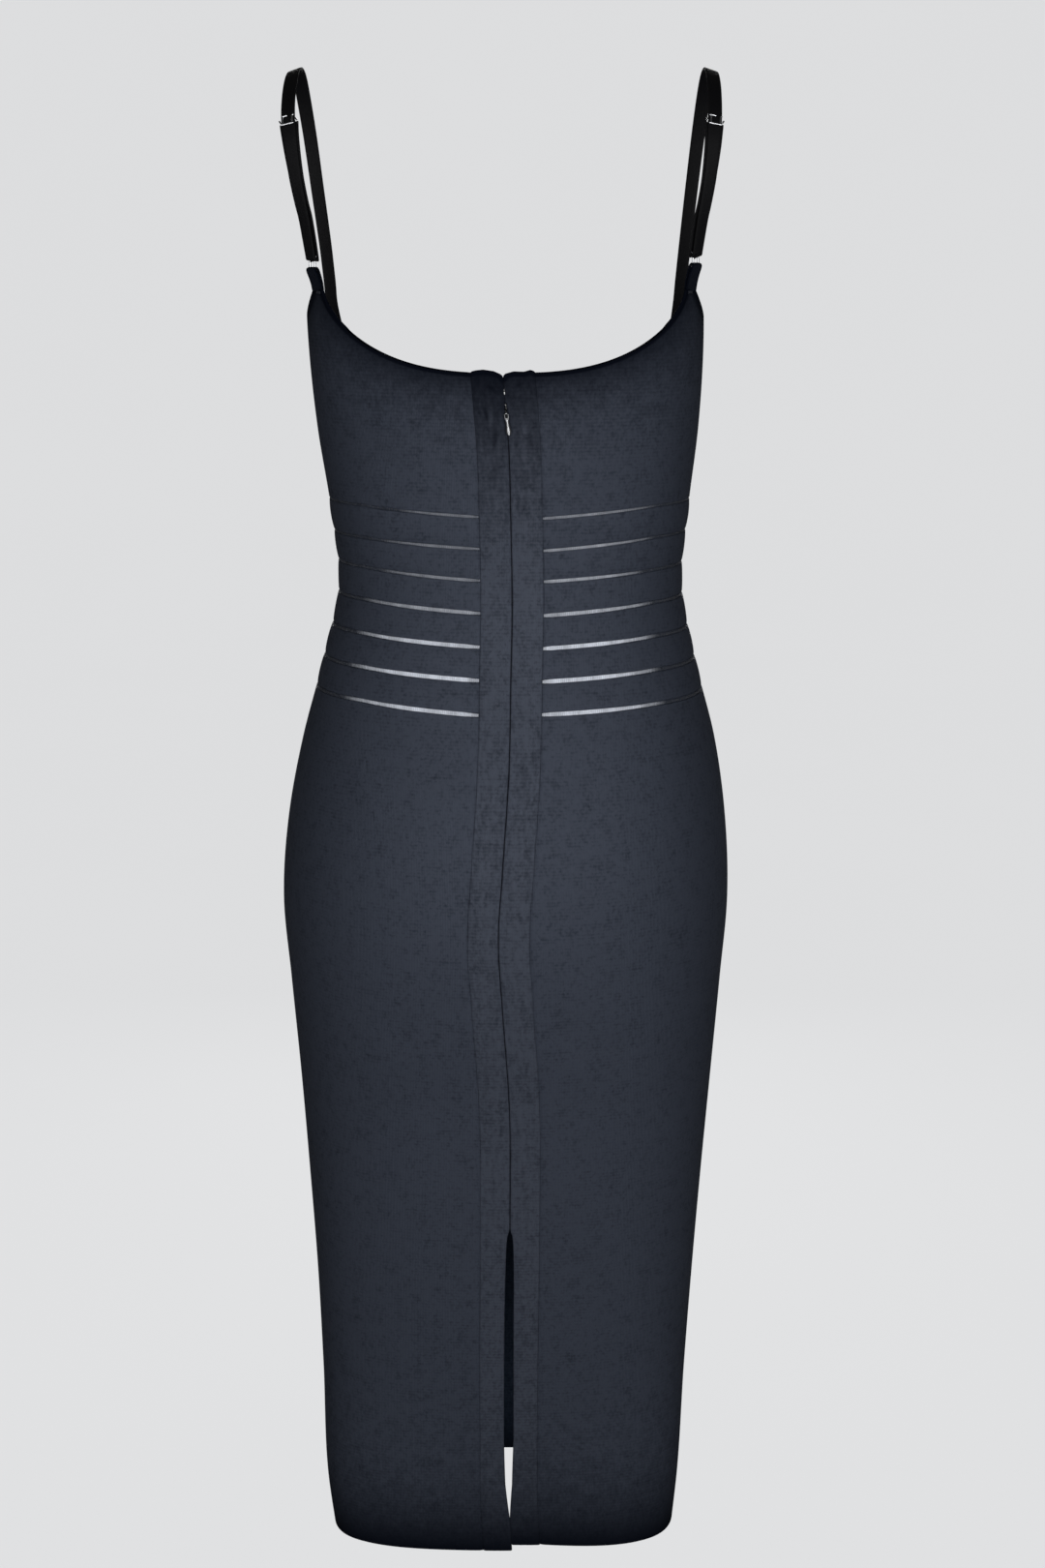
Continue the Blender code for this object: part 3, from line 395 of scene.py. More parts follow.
# Zip: the tape's round edge and ripples, the coil, the slider and its bridge, and the pull.
TAPE_ROLL = 0.0003
TAPE_RIPPLE, TAPE_RIPPLE_LENGTH = 0.00015, 0.016
TAPE_CLEAR = 2.5 * SEAM
COIL_WIRE = 0.00024
COIL_START, COIL_END_ROOM, COIL_SLIDER_ROOM = 0.003, 0.004, 0.0045
COIL_MIDDLE, COIL_REACH = 0.00105, 0.0013
COIL_DEPTH, COIL_HEIGHT = 0.00075, 0.00045
SLIDER_EDGE = 0.0006
SLIDER_NARROWING = 0.72
BRIDGE_WIRE, BRIDGE_BEND = 0.00045, 0.0008
PULL_FRONT, PULL_BACK = 1.2, 0.2  # where its faces lie, in thicknesses
PULL_ROUNDING = 0.9
PULL_MIDDLE = 0.0007  # the window is cut from the faces this near the middle
EYE_STEP, EYE_BEND, EYE_FOOT = 0.0014, 0.0006, 0.0001

# ---------------------------------------------------------------- what a user may change


class DressSizes(bpy.types.PropertyGroup):
    """Sizes of the knit, the bands and the zip."""

    wale_pitch: FloatProperty(
        name="Wale pitch", description="Width of one column of knit stitches",
        default=0.0011, min=0.0004, unit="LENGTH", precision=5)
    course_pitch: FloatProperty(
        name="Course pitch", description="Height of one row of knit stitches",
        default=0.0008, min=0.0003, unit="LENGTH", precision=5)
    band_pucker: FloatProperty(
        name="Band pucker", description="How far the zip bands pucker along the seam",
        default=0.00026, min=0.0, unit="LENGTH", precision=5)
    strand_pitch: FloatProperty(
        name="Strand pitch", description="Space between the strands that cross a ladder row",
        default=0.0013, min=0.0006, unit="LENGTH", precision=5)
    coil_pitch: FloatProperty(
        name="Coil pitch", description="Length of zip that one turn of its coil takes",
        default=0.0011, min=0.0006, unit="LENGTH", precision=5)
    stitch_length: FloatProperty(
        name="Stitch length", description="Length of one sewn stitch",
        default=0.0024, min=0.001, unit="LENGTH", precision=5)


def colour_property(name, description, default):
    return FloatVectorProperty(
        name=name, description=description, default=default, subtype="COLOR", size=3,
        min=0.0, max=1.0)


class DressColours(bpy.types.PropertyGroup):
    """Colours of the cloth, the threads and the metal."""

    knit: colour_property("Knit", "Dyed bandage knit of the panels", (0.021, 0.0245, 0.034))
    band: colour_property("Band", "Knit of the zip bands", (0.029, 0.033, 0.044))
    pale: colour_property("Ladder yarn", "Pale yarn in the ladder rows", (0.70, 0.73, 0.80))
    sheen: colour_property("Knit sheen", "Tint of the knit's soft gloss", (0.70, 0.79, 1.0))
    tape: colour_property("Zip tape", "Woven tape and coil of the zip", (0.006, 0.0065, 0.009))
    elastic: colour_property("Elastic", "Satin elastic of the straps", (0.0016, 0.0016, 0.0021))
    thread: colour_property("Sewing thread", "Thread of all stitches", (0.012, 0.014, 0.020))
    metal: colour_property("Metal", "Plated wire, slider and pull", (0.62, 0.63, 0.65))


class StageLook(bpy.types.PropertyGroup):
    """Floor, backdrop and light."""

    floor: FloatProperty(
        name="Floor height", description="Height of the floor under the dress",
        default=-1.385, unit="LENGTH")
    backdrop: colour_property("Backdrop", "Painted floor and wall", (0.76, 0.765, 0.775))
    key: FloatProperty(
        name="Key light", description="Power of the softbox to the right of the camera",
        default=12.4, min=0.0, unit="POWER")
    side: FloatProperty(
        name="Side light", description="Power of the softbox to the left of the camera",
        default=9.6, min=0.0, unit="POWER")
    front: FloatProperty(
        name="Front light", description="Power of the softbox before the front of the dress",
        default=26.0, min=0.0, unit="POWER")
    inside: FloatProperty(
        name="Inside light", description="Power of the small lamp below the open hem",
        default=0.25, min=0.0, unit="POWER")
    ambient: FloatProperty(
        name="Room light", description="Strength of the even light from all round",
        default=0.05, min=0.0)


def sizes():
    return bpy.context.scene.dress_sizes


def colours():
    return bpy.context.scene.dress_colours


# ---------------------------------------------------------------- form of the dress
LOWEST, HIGHEST, HEIGHT_STEP = -1.090, -0.130, 0.001
ROUND_STEPS = 240


def along_table(rows, z, column):
    """A column of a table read at heights, on a smooth curve through its rows."""
    heights = np.array([row.z for row in rows])
    values = np.array([getattr(row, column) for row in rows])
    slopes = np.gradient(values, heights)
    i = np.clip(np.searchsorted(heights, z) - 1, 0, len(rows) - 2)
    span = heights[i + 1] - heights[i]
    t = np.clip((z - heights[i]) / span, 0.0, 1.0)
    from_start = (1 + 2 * t) * (1 - t) ** 2 * values[i] + t * (1 - t) ** 2 * span * slopes[i]
    from_end = t * t * (3 - 2 * t) * values[i + 1] + t * t * (t - 1) * span * slopes[i + 1]
    return from_start + from_end


def blend(start, end, share):
    return start + (end - start) * share


def ease(value, low, high):
    """0 below low, 1 above high and a soft step between them."""
    t = np.clip((value - low) / (high - low), 0.0, 1.0)
    return t * t * (3 - 2 * t)


@lru_cache(maxsize=None)
def outline_grid(face):
    """Length of half the outline at each height, and its x and y at even steps along it."""
    heights = np.arange(LOWEST, HIGHEST, HEIGHT_STEP)
    depth = along_table(SECTIONS, heights, "back" if face == BACK else "front")
    half_width = along_table(SECTIONS, heights, "half_width")
    power = 2 / along_table(SECTIONS, heights, "square")
    angle = np.linspace(0, math.pi / 2, 961)
    lengths, xs, ys = [], [], []
    for i in range(len(heights)):
        x = half_width[i] * np.sin(angle) ** power[i]
        y = depth[i] * np.maximum(np.cos(angle), 0) ** power[i]
        along = np.concatenate(([0.0], np.cumsum(np.hypot(np.diff(x), np.diff(y)))))
        even = np.linspace(0, along[-1], ROUND_STEPS + 1)
        lengths.append(along[-1])
        xs.append(np.interp(even, along, x))
        ys.append(np.interp(even, along, y))
    return np.array(lengths), np.array(xs), np.array(ys)


def height_index(z):
    """Row of the outline table below a height, and how far to the next it lies."""
    place = np.clip((z - LOWEST) / HEIGHT_STEP, 0, (HIGHEST - LOWEST) / HEIGHT_STEP - 2)
    row = place.astype(int)
    return row, place - row


def side_distance(face, z):
    """How far round the side seam lies at a height."""
    lengths = outline_grid(face)[0]
    row, part = height_index(np.asarray(z, dtype=float))
    return blend(lengths[row], lengths[row + 1], part)


def outline_at(face, distance, z):
    """Unsigned x and y of the outline at a distance round and a height."""
    _, xs, ys = outline_grid(face)
    row, part = height_index(z)
    share = np.clip(distance / side_distance(face, z), 0, 1) * ROUND_STEPS
    step = np.minimum(share.astype(int), ROUND_STEPS - 1)
    over = share - step
    found = []
    for table in (xs, ys):
        low = blend(table[row, step], table[row, step + 1], over)
        high = blend(table[row + 1, step], table[row + 1, step + 1], over)
        found.append(blend(low, high, part))
    return found


def cup(x, z):
    """How far the front swells out over the bust."""
    across = (np.abs(x) - CUP_X) / CUP_REACH_X
    up = (z - CUP_Z) / CUP_REACH_Z
    return CUP_RISE * np.exp(-across * across - up * up)


def body_surface(face, distance, z):
    """Points of the dress's outer surface at signed distances round and heights."""
    distance, z = np.broadcast_arrays(np.asarray(distance, float), np.asarray(z, float))
    x, y = outline_at(face, np.abs(distance), z)
    x = x * np.where(distance < 0, -1, 1)
    y = y * face
    if face == FRONT:
        y = y + cup(x, z) * y / along_table(SECTIONS, z, "front")
    return np.stack([x + along_table(SECTIONS, z, "shift"), y, z], axis=-1)


NORMAL_STEP = 0.002


def unit(vectors):
    return vectors / np.maximum(np.linalg.norm(vectors, axis=-1, keepdims=True), 1e-12)


def body_facing(face, distance, z):
    """Outward directions of the dress's surface."""
    side = side_distance(face, z)
    ahead = np.minimum(distance + NORMAL_STEP, side)
    behind = np.maximum(distance - NORMAL_STEP, -side)
    round_it = body_surface(face, ahead, z) - body_surface(face, behind, z)
    above = body_surface(face, distance, z + NORMAL_STEP)
    below = body_surface(face, distance, z - NORMAL_STEP)
    return unit(np.cross(round_it, above - below)) * -face


def distance_at_x(face, x, z):
    """How far round the outline points x off the middle lie."""
    x, z = np.broadcast_arrays(np.asarray(x, float), np.asarray(z, float))
    low, high = np.zeros(x.shape), np.array(side_distance(face, z), dtype=float)
    for _ in range(26):
        middle = (low + high) / 2
        short = outline_at(face, middle, z)[0] < x
        low, high = np.where(short, middle, low), np.where(short, high, middle)
    return (low + high) / 2


def body_vector(face, distance, z, inset=0.0):
    """One point of the dress, inset along the way that the cloth faces."""
    distance, z = np.array([distance]), np.array([z])
    point = body_surface(face, distance, z) - body_facing(face, distance, z) * inset
    return Vector(point[0])


def level_facing(face, distance, z):
    """The way that the dress faces at a point, square to its outline and level."""
    facing = body_facing(face, np.array([distance]), np.array([z]))[0]
    return Vector((facing[0], facing[1], 0.0)).normalized()


def back_neckline(x):
    """Height of the scooped back at a distance off the middle."""
    reach = np.minimum(np.abs(x) / NECK_HALF, 1.0)
    return NECK_PEAK - NECK_DROP * (1 - reach**NECK_FLATNESS) ** (1 / NECK_RISE)


def sweetheart(x):
    """Height of the front's top edge at a distance off the middle."""
    reach = np.minimum(np.abs(x) / STRAP_POINT_X, 1.0)
    rise = 1 - (1 - reach) ** SWEETHEART_SWELL
    return SWEETHEART_DIP + (STRAP_POINT_Z - SWEETHEART_DIP) * rise


def gap_between_bands(z):
    return np.interp(z, [row.z for row in BAND_GAP], [row.width for row in BAND_GAP])


def centre_offset(z):
    """How far right of the middle the centre back seam lies at one height."""
    return float(along_table(CENTRE_SEAM, z, "offset"))


def tab_distance(side):
    """How far round the middle of a ring tab lies."""
    return side * (float(distance_at_x(BACK, NECK_HALF, NECK_PEAK)) + TAB_WIDTH / 2)


# ---------------------------------------------------------------- small tools


def uneven(*values):
    """A repeatable number from 0 to 1 that jumps about with its arguments."""
    mixed = sum(value * factor for value, factor in zip(values, (12.9898, 78.233, 37.719)))
    wave = np.sin(mixed) * 43758.5453
    return wave - np.floor(wave)


def ripple(along, across, seed):
    """Soft uneven waves from -1 to 1, with a length of about one along the first axis."""
    waves = np.sin(math.tau * along + 1.3 * across + seed)
    waves = waves + 0.7 * np.sin(math.tau * along * 1.618 - 2.1 * across + 2.4 * seed)
    waves = waves + 0.5 * np.sin(math.tau * along * 0.437 + 0.8 * across + 4.1 * seed)
    return waves / 2.2


def deselect_all():
    if bpy.context.mode != "OBJECT":
        bpy.ops.object.mode_set(mode="OBJECT")
    bpy.ops.object.select_all(action="DESELECT")


def only(piece):
    """Make one piece the selected and active one."""
    deselect_all()
    piece.select_set(True)
    bpy.context.view_layer.objects.active = piece


def change(piece, kind, **settings):
    """Run one of Blender's modifiers on a piece and keep what it makes."""
    modifier = piece.modifiers.new(kind.lower(), kind)
    for name, value in settings.items():
        setattr(modifier, name, value)
    only(piece)
    bpy.ops.object.modifier_apply(modifier=modifier.name)


def shift(piece, place):
    """Move a piece and write the move into its mesh."""
    piece.location = place
    only(piece)
    bpy.ops.object.transform_apply(location=True, rotation=False, scale=False)


def select_parts(piece, kind, chosen):
    """Select the faces or edges of a piece in edit mode that a test chooses."""
    bpy.ops.mesh.select_mode(type=kind)
    bpy.ops.mesh.select_all(action="DESELECT")
    shape = bmesh.from_edit_mesh(piece.data)
    for part in shape.faces if kind == "FACE" else shape.edges:
        part.select_set(chosen(part))
    bmesh.update_edit_mesh(piece.data)


def length_along(points):
    """Length of a line up to each of its points."""
    steps = np.linalg.norm(np.diff(points, axis=0), axis=1)
    return np.concatenate(([0.0], np.cumsum(steps)))


def finish_piece(piece, finish, replaces=(), body="dress"):
    """Give a piece its material, the body that it rides on and what it stands for."""
    piece.data.materials.clear()
    piece.data.materials.append(finish)
    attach(piece, body)
    if replaces:
        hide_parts(*replaces)


def mesh_piece(name, points, faces, uv=None, shades=None):
    """A piece from arrays of points and faces, its faces turned outwards."""
    mesh = bpy.data.meshes.new(name)
    mesh.from_pydata(points, [], faces)
    mesh.update()
    shape = bmesh.new()
    shape.from_mesh(mesh)
    if shape.calc_volume(signed=True) < 0:
        bmesh.ops.reverse_faces(shape, faces=list(shape.faces))
    shape.to_mesh(mesh)
    shape.free()
    if uv is not None:
        corner = np.empty(len(mesh.loops), dtype=np.int32)
        mesh.loops.foreach_get("vertex_index", corner)
        layer = mesh.uv_layers.new(name="cloth")
        layer.data.foreach_set("uv", uv[corner].astype(np.float32).ravel())
    for shade, values in (shades or {}).items():
        layer = mesh.attributes.new(shade, "FLOAT", "POINT")
        layer.data.foreach_set("value", values.astype(np.float32).ravel())
    mesh.shade_smooth()
    piece = bpy.data.objects.new(name, mesh)
    bpy.context.scene.collection.objects.link(piece)
    return piece


def cloth_shell(name, outer, inner, uv, shades, bulge, side_bulge=None, rim_steps=3):
    """A closed sheet between two grids of points, with round edges.

    bulge is how far an edge rounds out, and side_bulge the same for the first and last column.
    """
    rows, columns = outer.shape[:2]
    index = np.arange(rows * columns).reshape(rows, columns)
    edge = np.concatenate((index[0, :-1], index[:-1, -1], index[-1, :0:-1], index[:0:-1, 0]))
    row, column = edge // columns, edge % columns
    inside = index[np.clip(row, 1, rows - 2), np.clip(column, 1, columns - 2)]
    flat_outer, flat_inner = outer.reshape(-1, 3), inner.reshape(-1, 3)
    on_side = (column == 0) | (column == columns - 1)
    reach = np.where(on_side, bulge if side_bulge is None else side_bulge, bulge)
    away = flat_outer[edge] - flat_outer[inside]
    ahead = unit(np.roll(flat_outer[edge], -1, axis=0) - np.roll(flat_outer[edge], 1, axis=0))
    out = unit(away - ahead * (away * ahead).sum(axis=1)[:, None]) * reach[:, None]
    middle = (flat_outer[edge] + flat_inner[edge]) / 2
    half = (flat_outer[edge] - flat_inner[edge]) / 2
    points, rings, source = [flat_outer, flat_inner], [edge], [np.arange(rows * columns)] * 2
    for step in range(1, rim_steps + 1):
        angle = math.pi * step / (rim_steps + 1)
        rings.append(2 * rows * columns + (step - 1) * len(edge) + np.arange(len(edge)))
        points.append(middle + half * math.cos(angle) + out * math.sin(angle))
        source.append(edge)
    rings.append(edge + rows * columns)
    quads = np.stack((index[:-1, :-1], index[:-1, 1:], index[1:, 1:], index[1:, :-1]), axis=-1)
    quads = quads.reshape(-1, 4)
    faces = [quads, quads[:, ::-1] + rows * columns]
    for near, far in zip(rings, rings[1:]):
        faces.append(np.stack((np.roll(near, -1), near, far, np.roll(far, -1)), axis=-1))
    source = np.concatenate(source)
    flat_shades = {key: value.reshape(-1)[source] for key, value in shades.items()}
    return mesh_piece(
        name, np.concatenate(points), np.concatenate(faces).tolist(),
        uv.reshape(-1, 2)[source], flat_shades)


def declare_sheet(outer):
    """Take the steps across and up a cloth piece's grid; nothing further is done with them."""
    across = outer[:, 1:] - outer[:, :-1]
    up = outer[1:] - outer[:-1]


def copies(name, pattern, places, shades):
    """One piece made of a small mesh set down at many places, each a 4x4 matrix."""
    count = len(pattern.vertices)
    points = np.empty(count * 3)
    pattern.vertices.foreach_get("co", points)
    points = np.concatenate((points.reshape(-1, 3), np.ones((count, 1))), axis=1)
    faces = [tuple(face.vertices) for face in pattern.polygons]
    all_points = np.concatenate([points @ np.array(place).T for place in places])[:, :3]
    all_faces = []
    for i in range(len(places)):
        all_faces += [tuple(corner + i * count for corner in face) for face in faces]
    flat = {key: np.repeat(np.asarray(value), count) for key, value in shades.items()}
    piece = mesh_piece(name, all_points, all_faces, None, flat)
    bpy.data.meshes.remove(pattern)
    return piece


def thread_pattern(radius, sides):
    """A short thread of length one along X, thinner and lower at its two ends."""
    deselect_all()
    bpy.ops.mesh.primitive_cylinder_add(
        vertices=sides, radius=radius, depth=1.0, rotation=(0, math.pi / 2, 0))
    piece = bpy.context.object
    bpy.ops.object.transform_apply(location=False, rotation=True, scale=False)
    bpy.ops.object.mode_set(mode="EDIT")
    for cut in (0.0, 0.25, -0.25):
        bpy.ops.mesh.select_all(action="SELECT")
        bpy.ops.mesh.bisect(plane_co=(cut, 0, 0), plane_no=(1, 0, 0))
    bpy.ops.mesh.select_all(action="DESELECT")
    shape = bmesh.from_edit_mesh(piece.data)
    for point in shape.verts:
        end = abs(point.co.x) * 2
        shrink = 1 - THREAD_TAPER * end**6
        point.co.y *= shrink
        point.co.z = point.co.z * shrink - radius * THREAD_DIP * end**2
    bmesh.update_edit_mesh(piece.data)
    bpy.ops.object.mode_set(mode="OBJECT")
    mesh = piece.data
    bpy.data.objects.remove(piece)
    return mesh


def thread_place(start, end, outward):
    """Where a stitch from one point to another lies."""
    along = Vector(end) - Vector(start)
    length = along.length
    ahead = along.normalized()
    out = (Vector(outward) - ahead * ahead.dot(Vector(outward))).normalized()
    beside = out.cross(ahead)
    place = Matrix((ahead * length, beside, out)).transposed().to_4x4()
    place.translation = (Vector(start) + Vector(end)) / 2 + out * THREAD_RADIUS * 0.5
    return place


# ---------------------------------------------------------------- materials


class Link:
    """An output of a node. Sums on it add Math nodes to the same material."""

    def __init__(self, finish, socket):
        self.finish = finish
        self.socket = socket

    def maths(self, operation, *others):
        return self.finish.maths(operation, self, *others)

    def __add__(self, other):
        return self.maths("ADD", other)

    __radd__ = __add__

    def __sub__(self, other):
        return self.maths("SUBTRACT", other)

    def __rsub__(self, other):
        return self.finish.maths("SUBTRACT", other, self)

    def __mul__(self, other):
        return self.maths("MULTIPLY", other)

    def __truediv__(self, other):
        return self.maths("DIVIDE", other)

    def __pow__(self, other):
        return self.maths("POWER", other)

    def __abs__(self):
        return self.maths("ABSOLUTE")

    def fraction(self):
        return self.maths("FRACT")

    def wave(self):
        """A smooth wave from 0 to 1, one for each unit."""
        return (self * math.tau).maths("COSINE") * 0.5 + 0.5

    def kept(self):
        """The value held between 0 and 1."""
        return self.finish.node("ShaderNodeClamp", None, {"Value": self})


# Places of the colour sockets of a Mix node.
MIX_SHARE, MIX_START, MIX_END, MIX_RESULT = 0, 6, 7, 2


class Finish:
    """The nodes of one material."""

    def __init__(self, name):
        self.material = bpy.data.materials.new(name)
        self.material.use_nodes = True
        self.tree = self.material.node_tree
        self.shader = self.tree.nodes["Principled BSDF"]

    def put(self, socket, value):
        """Link a socket or set its value. A colour is given without its alpha."""
        if isinstance(value, Link):
            self.tree.links.new(value.socket, socket)
        elif socket.type == "RGBA":
            socket.default_value = (*value, 1.0)
        else:
            socket.default_value = value

    def node(self, kind, settings=None, values=None, output=0):
        """Add a node: its settings, and the values or links of its sockets by name or place."""
        made = self.tree.nodes.new(kind)
        for name, value in (settings or {}).items():
            setattr(made, name, value)
        for name, value in (values or {}).items():
            self.put(made.inputs[name], value)
        return Link(self, made.outputs[output])

    def maths(self, operation, *values):
        return self.node("ShaderNodeMath", {"operation": operation}, dict(enumerate(values)))

    def mix(self, share, start, end):
        """A colour between two others."""
        values = {MIX_SHARE: share, MIX_START: start, MIX_END: end}
        return self.node("ShaderNodeMix", {"data_type": "RGBA"}, values, MIX_RESULT)

    def attribute(self, name):
        return self.node("ShaderNodeAttribute", {"attribute_name": name}, output="Fac")

    def cloth_place(self):
        """Distance across and along the cut cloth, in metres."""
        place = self.node("ShaderNodeUVMap", {"uv_map": "cloth"})
        split = self.node("ShaderNodeSeparateXYZ", None, {0: place}).socket.node
        return Link(self, split.outputs[0]), Link(self, split.outputs[1])

    def noise(self, scale, detail, roughness, stretch=(1, 1, 1)):
        """Cloudy noise from 0 to 1 with features of about one over scale."""
        place = self.node("ShaderNodeTexCoord", output="Object")
        place = self.node("ShaderNodeMapping", None, {"Vector": place, "Scale": stretch})
        return self.node("ShaderNodeTexNoise", None, {
            "Vector": place, "Scale": scale, "Detail": detail, "Roughness": roughness})

    def bump(self, height, distance, strength, under=None):
        values = {"Height": height, "Distance": distance, "Strength": strength}
        if under is not None:
            values["Normal"] = under
        return self.node("ShaderNodeBump", None, values, output="Normal")

    def surface(self, **inputs):
        """Set the shader's sockets, each named in lower case with underscores."""
        for name, value in inputs.items():
            name = name.replace("_", " ").title().replace("Ior", "IOR")
            self.put(self.shader.inputs[name], value)
        return self.material

    def lay_over(self, share, colour, roughness, specular):
        """Lay a second plain surface over the first, by a share from 0 to 1."""
        first = Link(self, self.shader.outputs["BSDF"])
        over = self.node("ShaderNodeBsdfPrincipled", None, {
            "Base Color": colour, "Roughness": roughness, "Specular IOR Level": specular})
        both = self.node("ShaderNodeMixShader", None, {"Fac": share, 1: first, 2: over})
        self.put(self.tree.nodes["Material Output"].inputs["Surface"], both)


def shade_of(colour, factor):
    return tuple(min(channel * factor, 1.0) for channel in colour)


def knit_height(across, along):
    """Height of the knit's stitches: chevrons in upright columns."""
    size = sizes()
    wale = (across / size.wale_pitch).fraction()
    lean = abs(wale - 0.5)
    course = (along / size.course_pitch + lean * 0.9).wave()
    column = 1 - (lean * 2) ** 3
    return column * (0.45 + course * 0.55)


@lru_cache(maxsize=None)
def knit_finish(name, base, rough, mottle, gloss=0.42):
    """Bandage knit: fine stitches, a slightly cloudy dye, pale yarn in the ladder rows, and
    painted shade, near black, along its edges, folds and creases.
    """
    finish = Finish(name)
    across, along = finish.cloth_place()
    stitches = knit_height(across, along)
    cloud = finish.noise(26.0, 4.0, 0.6, stretch=(1.0, 1.0, 0.55))
    fibre = finish.noise(1500.0, 2.0, 0.7)
    speck = finish.noise(430.0, 3.0, 0.6, stretch=(1.0, 1.0, 0.8))
    rib = (along / BANDAGE_RIB).wave()
    dye = 1 + (cloud - 0.5) * mottle + (fibre - 0.5) * 0.35 + (stitches - 0.5) * 0.25
    blotch = finish.noise(115.0, 2.0, 0.6)
    dye = dye + (speck - 0.5) * 1.8 + (blotch - 0.5) * 1.3 + (rib - 0.5) * 0.28
    # The edge attribute is painted shade: it darkens the dye towards a near-black navy and
    # roughens the knit.
    edge = finish.attribute("edge")
    shade = dye * (1 - edge)
    cloth = finish.mix(shade.kept() * 0.5, PAINTED_SHADE_NAVY, shade_of(base, 2.0))
    strands = ((across / sizes().strand_pitch).wave() * 0.35 + 0.65).kept()
    pale = (finish.attribute("ladder") * strands).kept()
    colour = finish.mix(pale, cloth, tuple(colours().pale))
    roughness = rough + (cloud - 0.5) * 0.10 + (fibre - 0.5) * 0.08 - (speck - 0.5) * 0.42
    roughness = (roughness - (blotch - 0.5) * 0.14 + edge * 0.38).kept()
    coarse = finish.bump(cloud + speck * 0.20 + rib * 0.03, 0.0006, 0.35)
    normal = finish.bump(stitches + fibre * 0.35, 0.00016, 0.8, coarse)
    # Painted shade: a near-black matt surface laid over the most shaded edges, which also dims
    # their gloss.
    finish.lay_over((edge * edge).kept(), PAINTED_SHADE_NAVY, 0.9, 0.06)
    return finish.surface(
        base_color=colour, roughness=roughness, normal=normal, specular_ior_level=gloss,
        specular_tint=tuple(colours().sheen))


def panel_finish():
    return knit_finish("slate_bandage_knit", tuple(colours().knit), 0.63, 0.24)


def band_finish():
    return knit_finish("slate_band_knit", tuple(colours().band), 0.60, 0.60)


def tab_finish():
    return knit_finish("black_tab_knit", shade_of(colours().knit, 0.12), 0.75, 0.2, 0.12)


@lru_cache(maxsize=None)
def tape_finish():
    """Woven tape: fine twill lines."""
    finish = Finish("black_zip_tape")
    across, along = finish.cloth_place()
    twill = ((across + along * 0.6) / TAPE_TWILL).wave()
    weft = (along / TAPE_WEFT).wave()
    lint = finish.noise(900.0, 2.0, 0.6)
    colour = finish.mix((twill * 0.5 + lint * 0.5).kept(), shade_of(colours().tape, 0.6),
                        shade_of(colours().tape, 1.8))
    normal = finish.bump(twill * 0.6 + weft * 0.4, 0.00012, 0.8)
    return finish.surface(base_color=colour, roughness=0.72 + lint * 0.12, normal=normal)


@lru_cache(maxsize=None)
def coil_finish():
    """Polyester monofilament of the zip's coil."""
    finish = Finish("black_zip_coil")
    wear = finish.noise(700.0, 3.0, 0.6)
    colour = finish.mix(wear, shade_of(colours().tape, 0.9), shade_of(colours().tape, 2.4))
    return finish.surface(base_color=colour, roughness=0.28 + wear * 0.16)


@lru_cache(maxsize=None)
def elastic_finish():
    """Satin elastic: ribs across its width, a soft gloss and a matt picot edge."""
    finish = Finish("black_satin_elastic")
    across, along = finish.cloth_place()
    rib = (along / ELASTIC_RIB).wave()
    yarn = (across / ELASTIC_YARN).wave()
    lint = finish.noise(1300.0, 3.0, 0.65)
    edge = finish.attribute("edge")
    shine = (rib * 0.35 + yarn * 0.2 + lint * 0.45).kept()
    colour = finish.mix(shine, shade_of(colours().elastic, 0.5), shade_of(colours().elastic, 2.2))
    roughness = (0.48 + lint * 0.20 + edge * 0.18).kept()
    normal = finish.bump(rib * 0.7 + yarn * 0.3 + lint * 0.3, 0.00012, 0.7)
    return finish.surface(base_color=colour, roughness=roughness, normal=normal,
                          specular_ior_level=0.14)


@lru_cache(maxsize=None)
def plated_finish(name, plating, rough):
    """Plating with fine wear."""
    finish = Finish(name)
    scuff = finish.noise(2400.0, 4.0, 0.7)
    haze = finish.noise(420.0, 2.0, 0.5)
    colour = finish.mix(haze * 0.5, plating, shade_of(plating, 0.72))
    return finish.surface(base_color=colour, metallic=1.0, roughness=(rough + scuff * 0.16).kept(),
                          normal=finish.bump(scuff, 0.00003, 0.4))


def metal_finish():
    return plated_finish("silver_plated_metal", tuple(colours().metal), 0.16)


def pull_finish():
    return plated_finish("satin_plated_pull", shade_of(colours().metal, 0.55), 0.24)


def slider_finish():
    return plated_finish("dark_plated_slider", shade_of(colours().metal, 0.10), 0.30)


@lru_cache(maxsize=None)
def thread_finish():
    """Twisted sewing thread."""
    finish = Finish("navy_sewing_thread")
    twist = finish.noise(3200.0, 2.0, 0.6)
    colour = finish.mix(twist, shade_of(colours().thread, 0.6), shade_of(colours().thread, 1.9))
    return finish.surface(base_color=colour, roughness=0.55 + twist * 0.15,
                          normal=finish.bump(twist, 0.00006, 0.6))


@lru_cache(maxsize=None)
def ladder_finish():
    """Monofilament of the ladder rows: pale beside the bands, sunk in the knit further out."""
    finish = Finish("pale_ladder_yarn")
    grain = finish.noise(1800.0, 2.0, 0.6)
    pale = (finish.attribute("ladder") * (0.8 + grain * 0.3)).kept()
    colour = finish.mix(pale, shade_of(colours().knit, 0.9), tuple(colours().pale))
    return finish.surface(base_color=colour, roughness=0.38 + grain * 0.12)


# ---------------------------------------------------------------- panels of knit


def ladder_depth(z):
    """How far the outer face lies in at a height: ladder rows sink, strips between them swell."""
    depth = np.zeros(np.shape(z))
    for row in LADDERS:
        half = row.width / 2
        depth = depth + LADDER_DEPTH * (1 - ease(np.abs(z - row.z), half, half + LADDER_EDGE))
    for above, below in zip(LADDERS, LADDERS[1:]):
        top = above.z - above.width / 2 - LADDER_EDGE
        base = below.z + below.width / 2 + LADDER_EDGE
        share = np.clip((z - base) / (top - base), 0, 1)
        depth = depth - STRIP_DOME * (4 * share * (1 - share)) ** STRIP_FULLNESS
    return depth


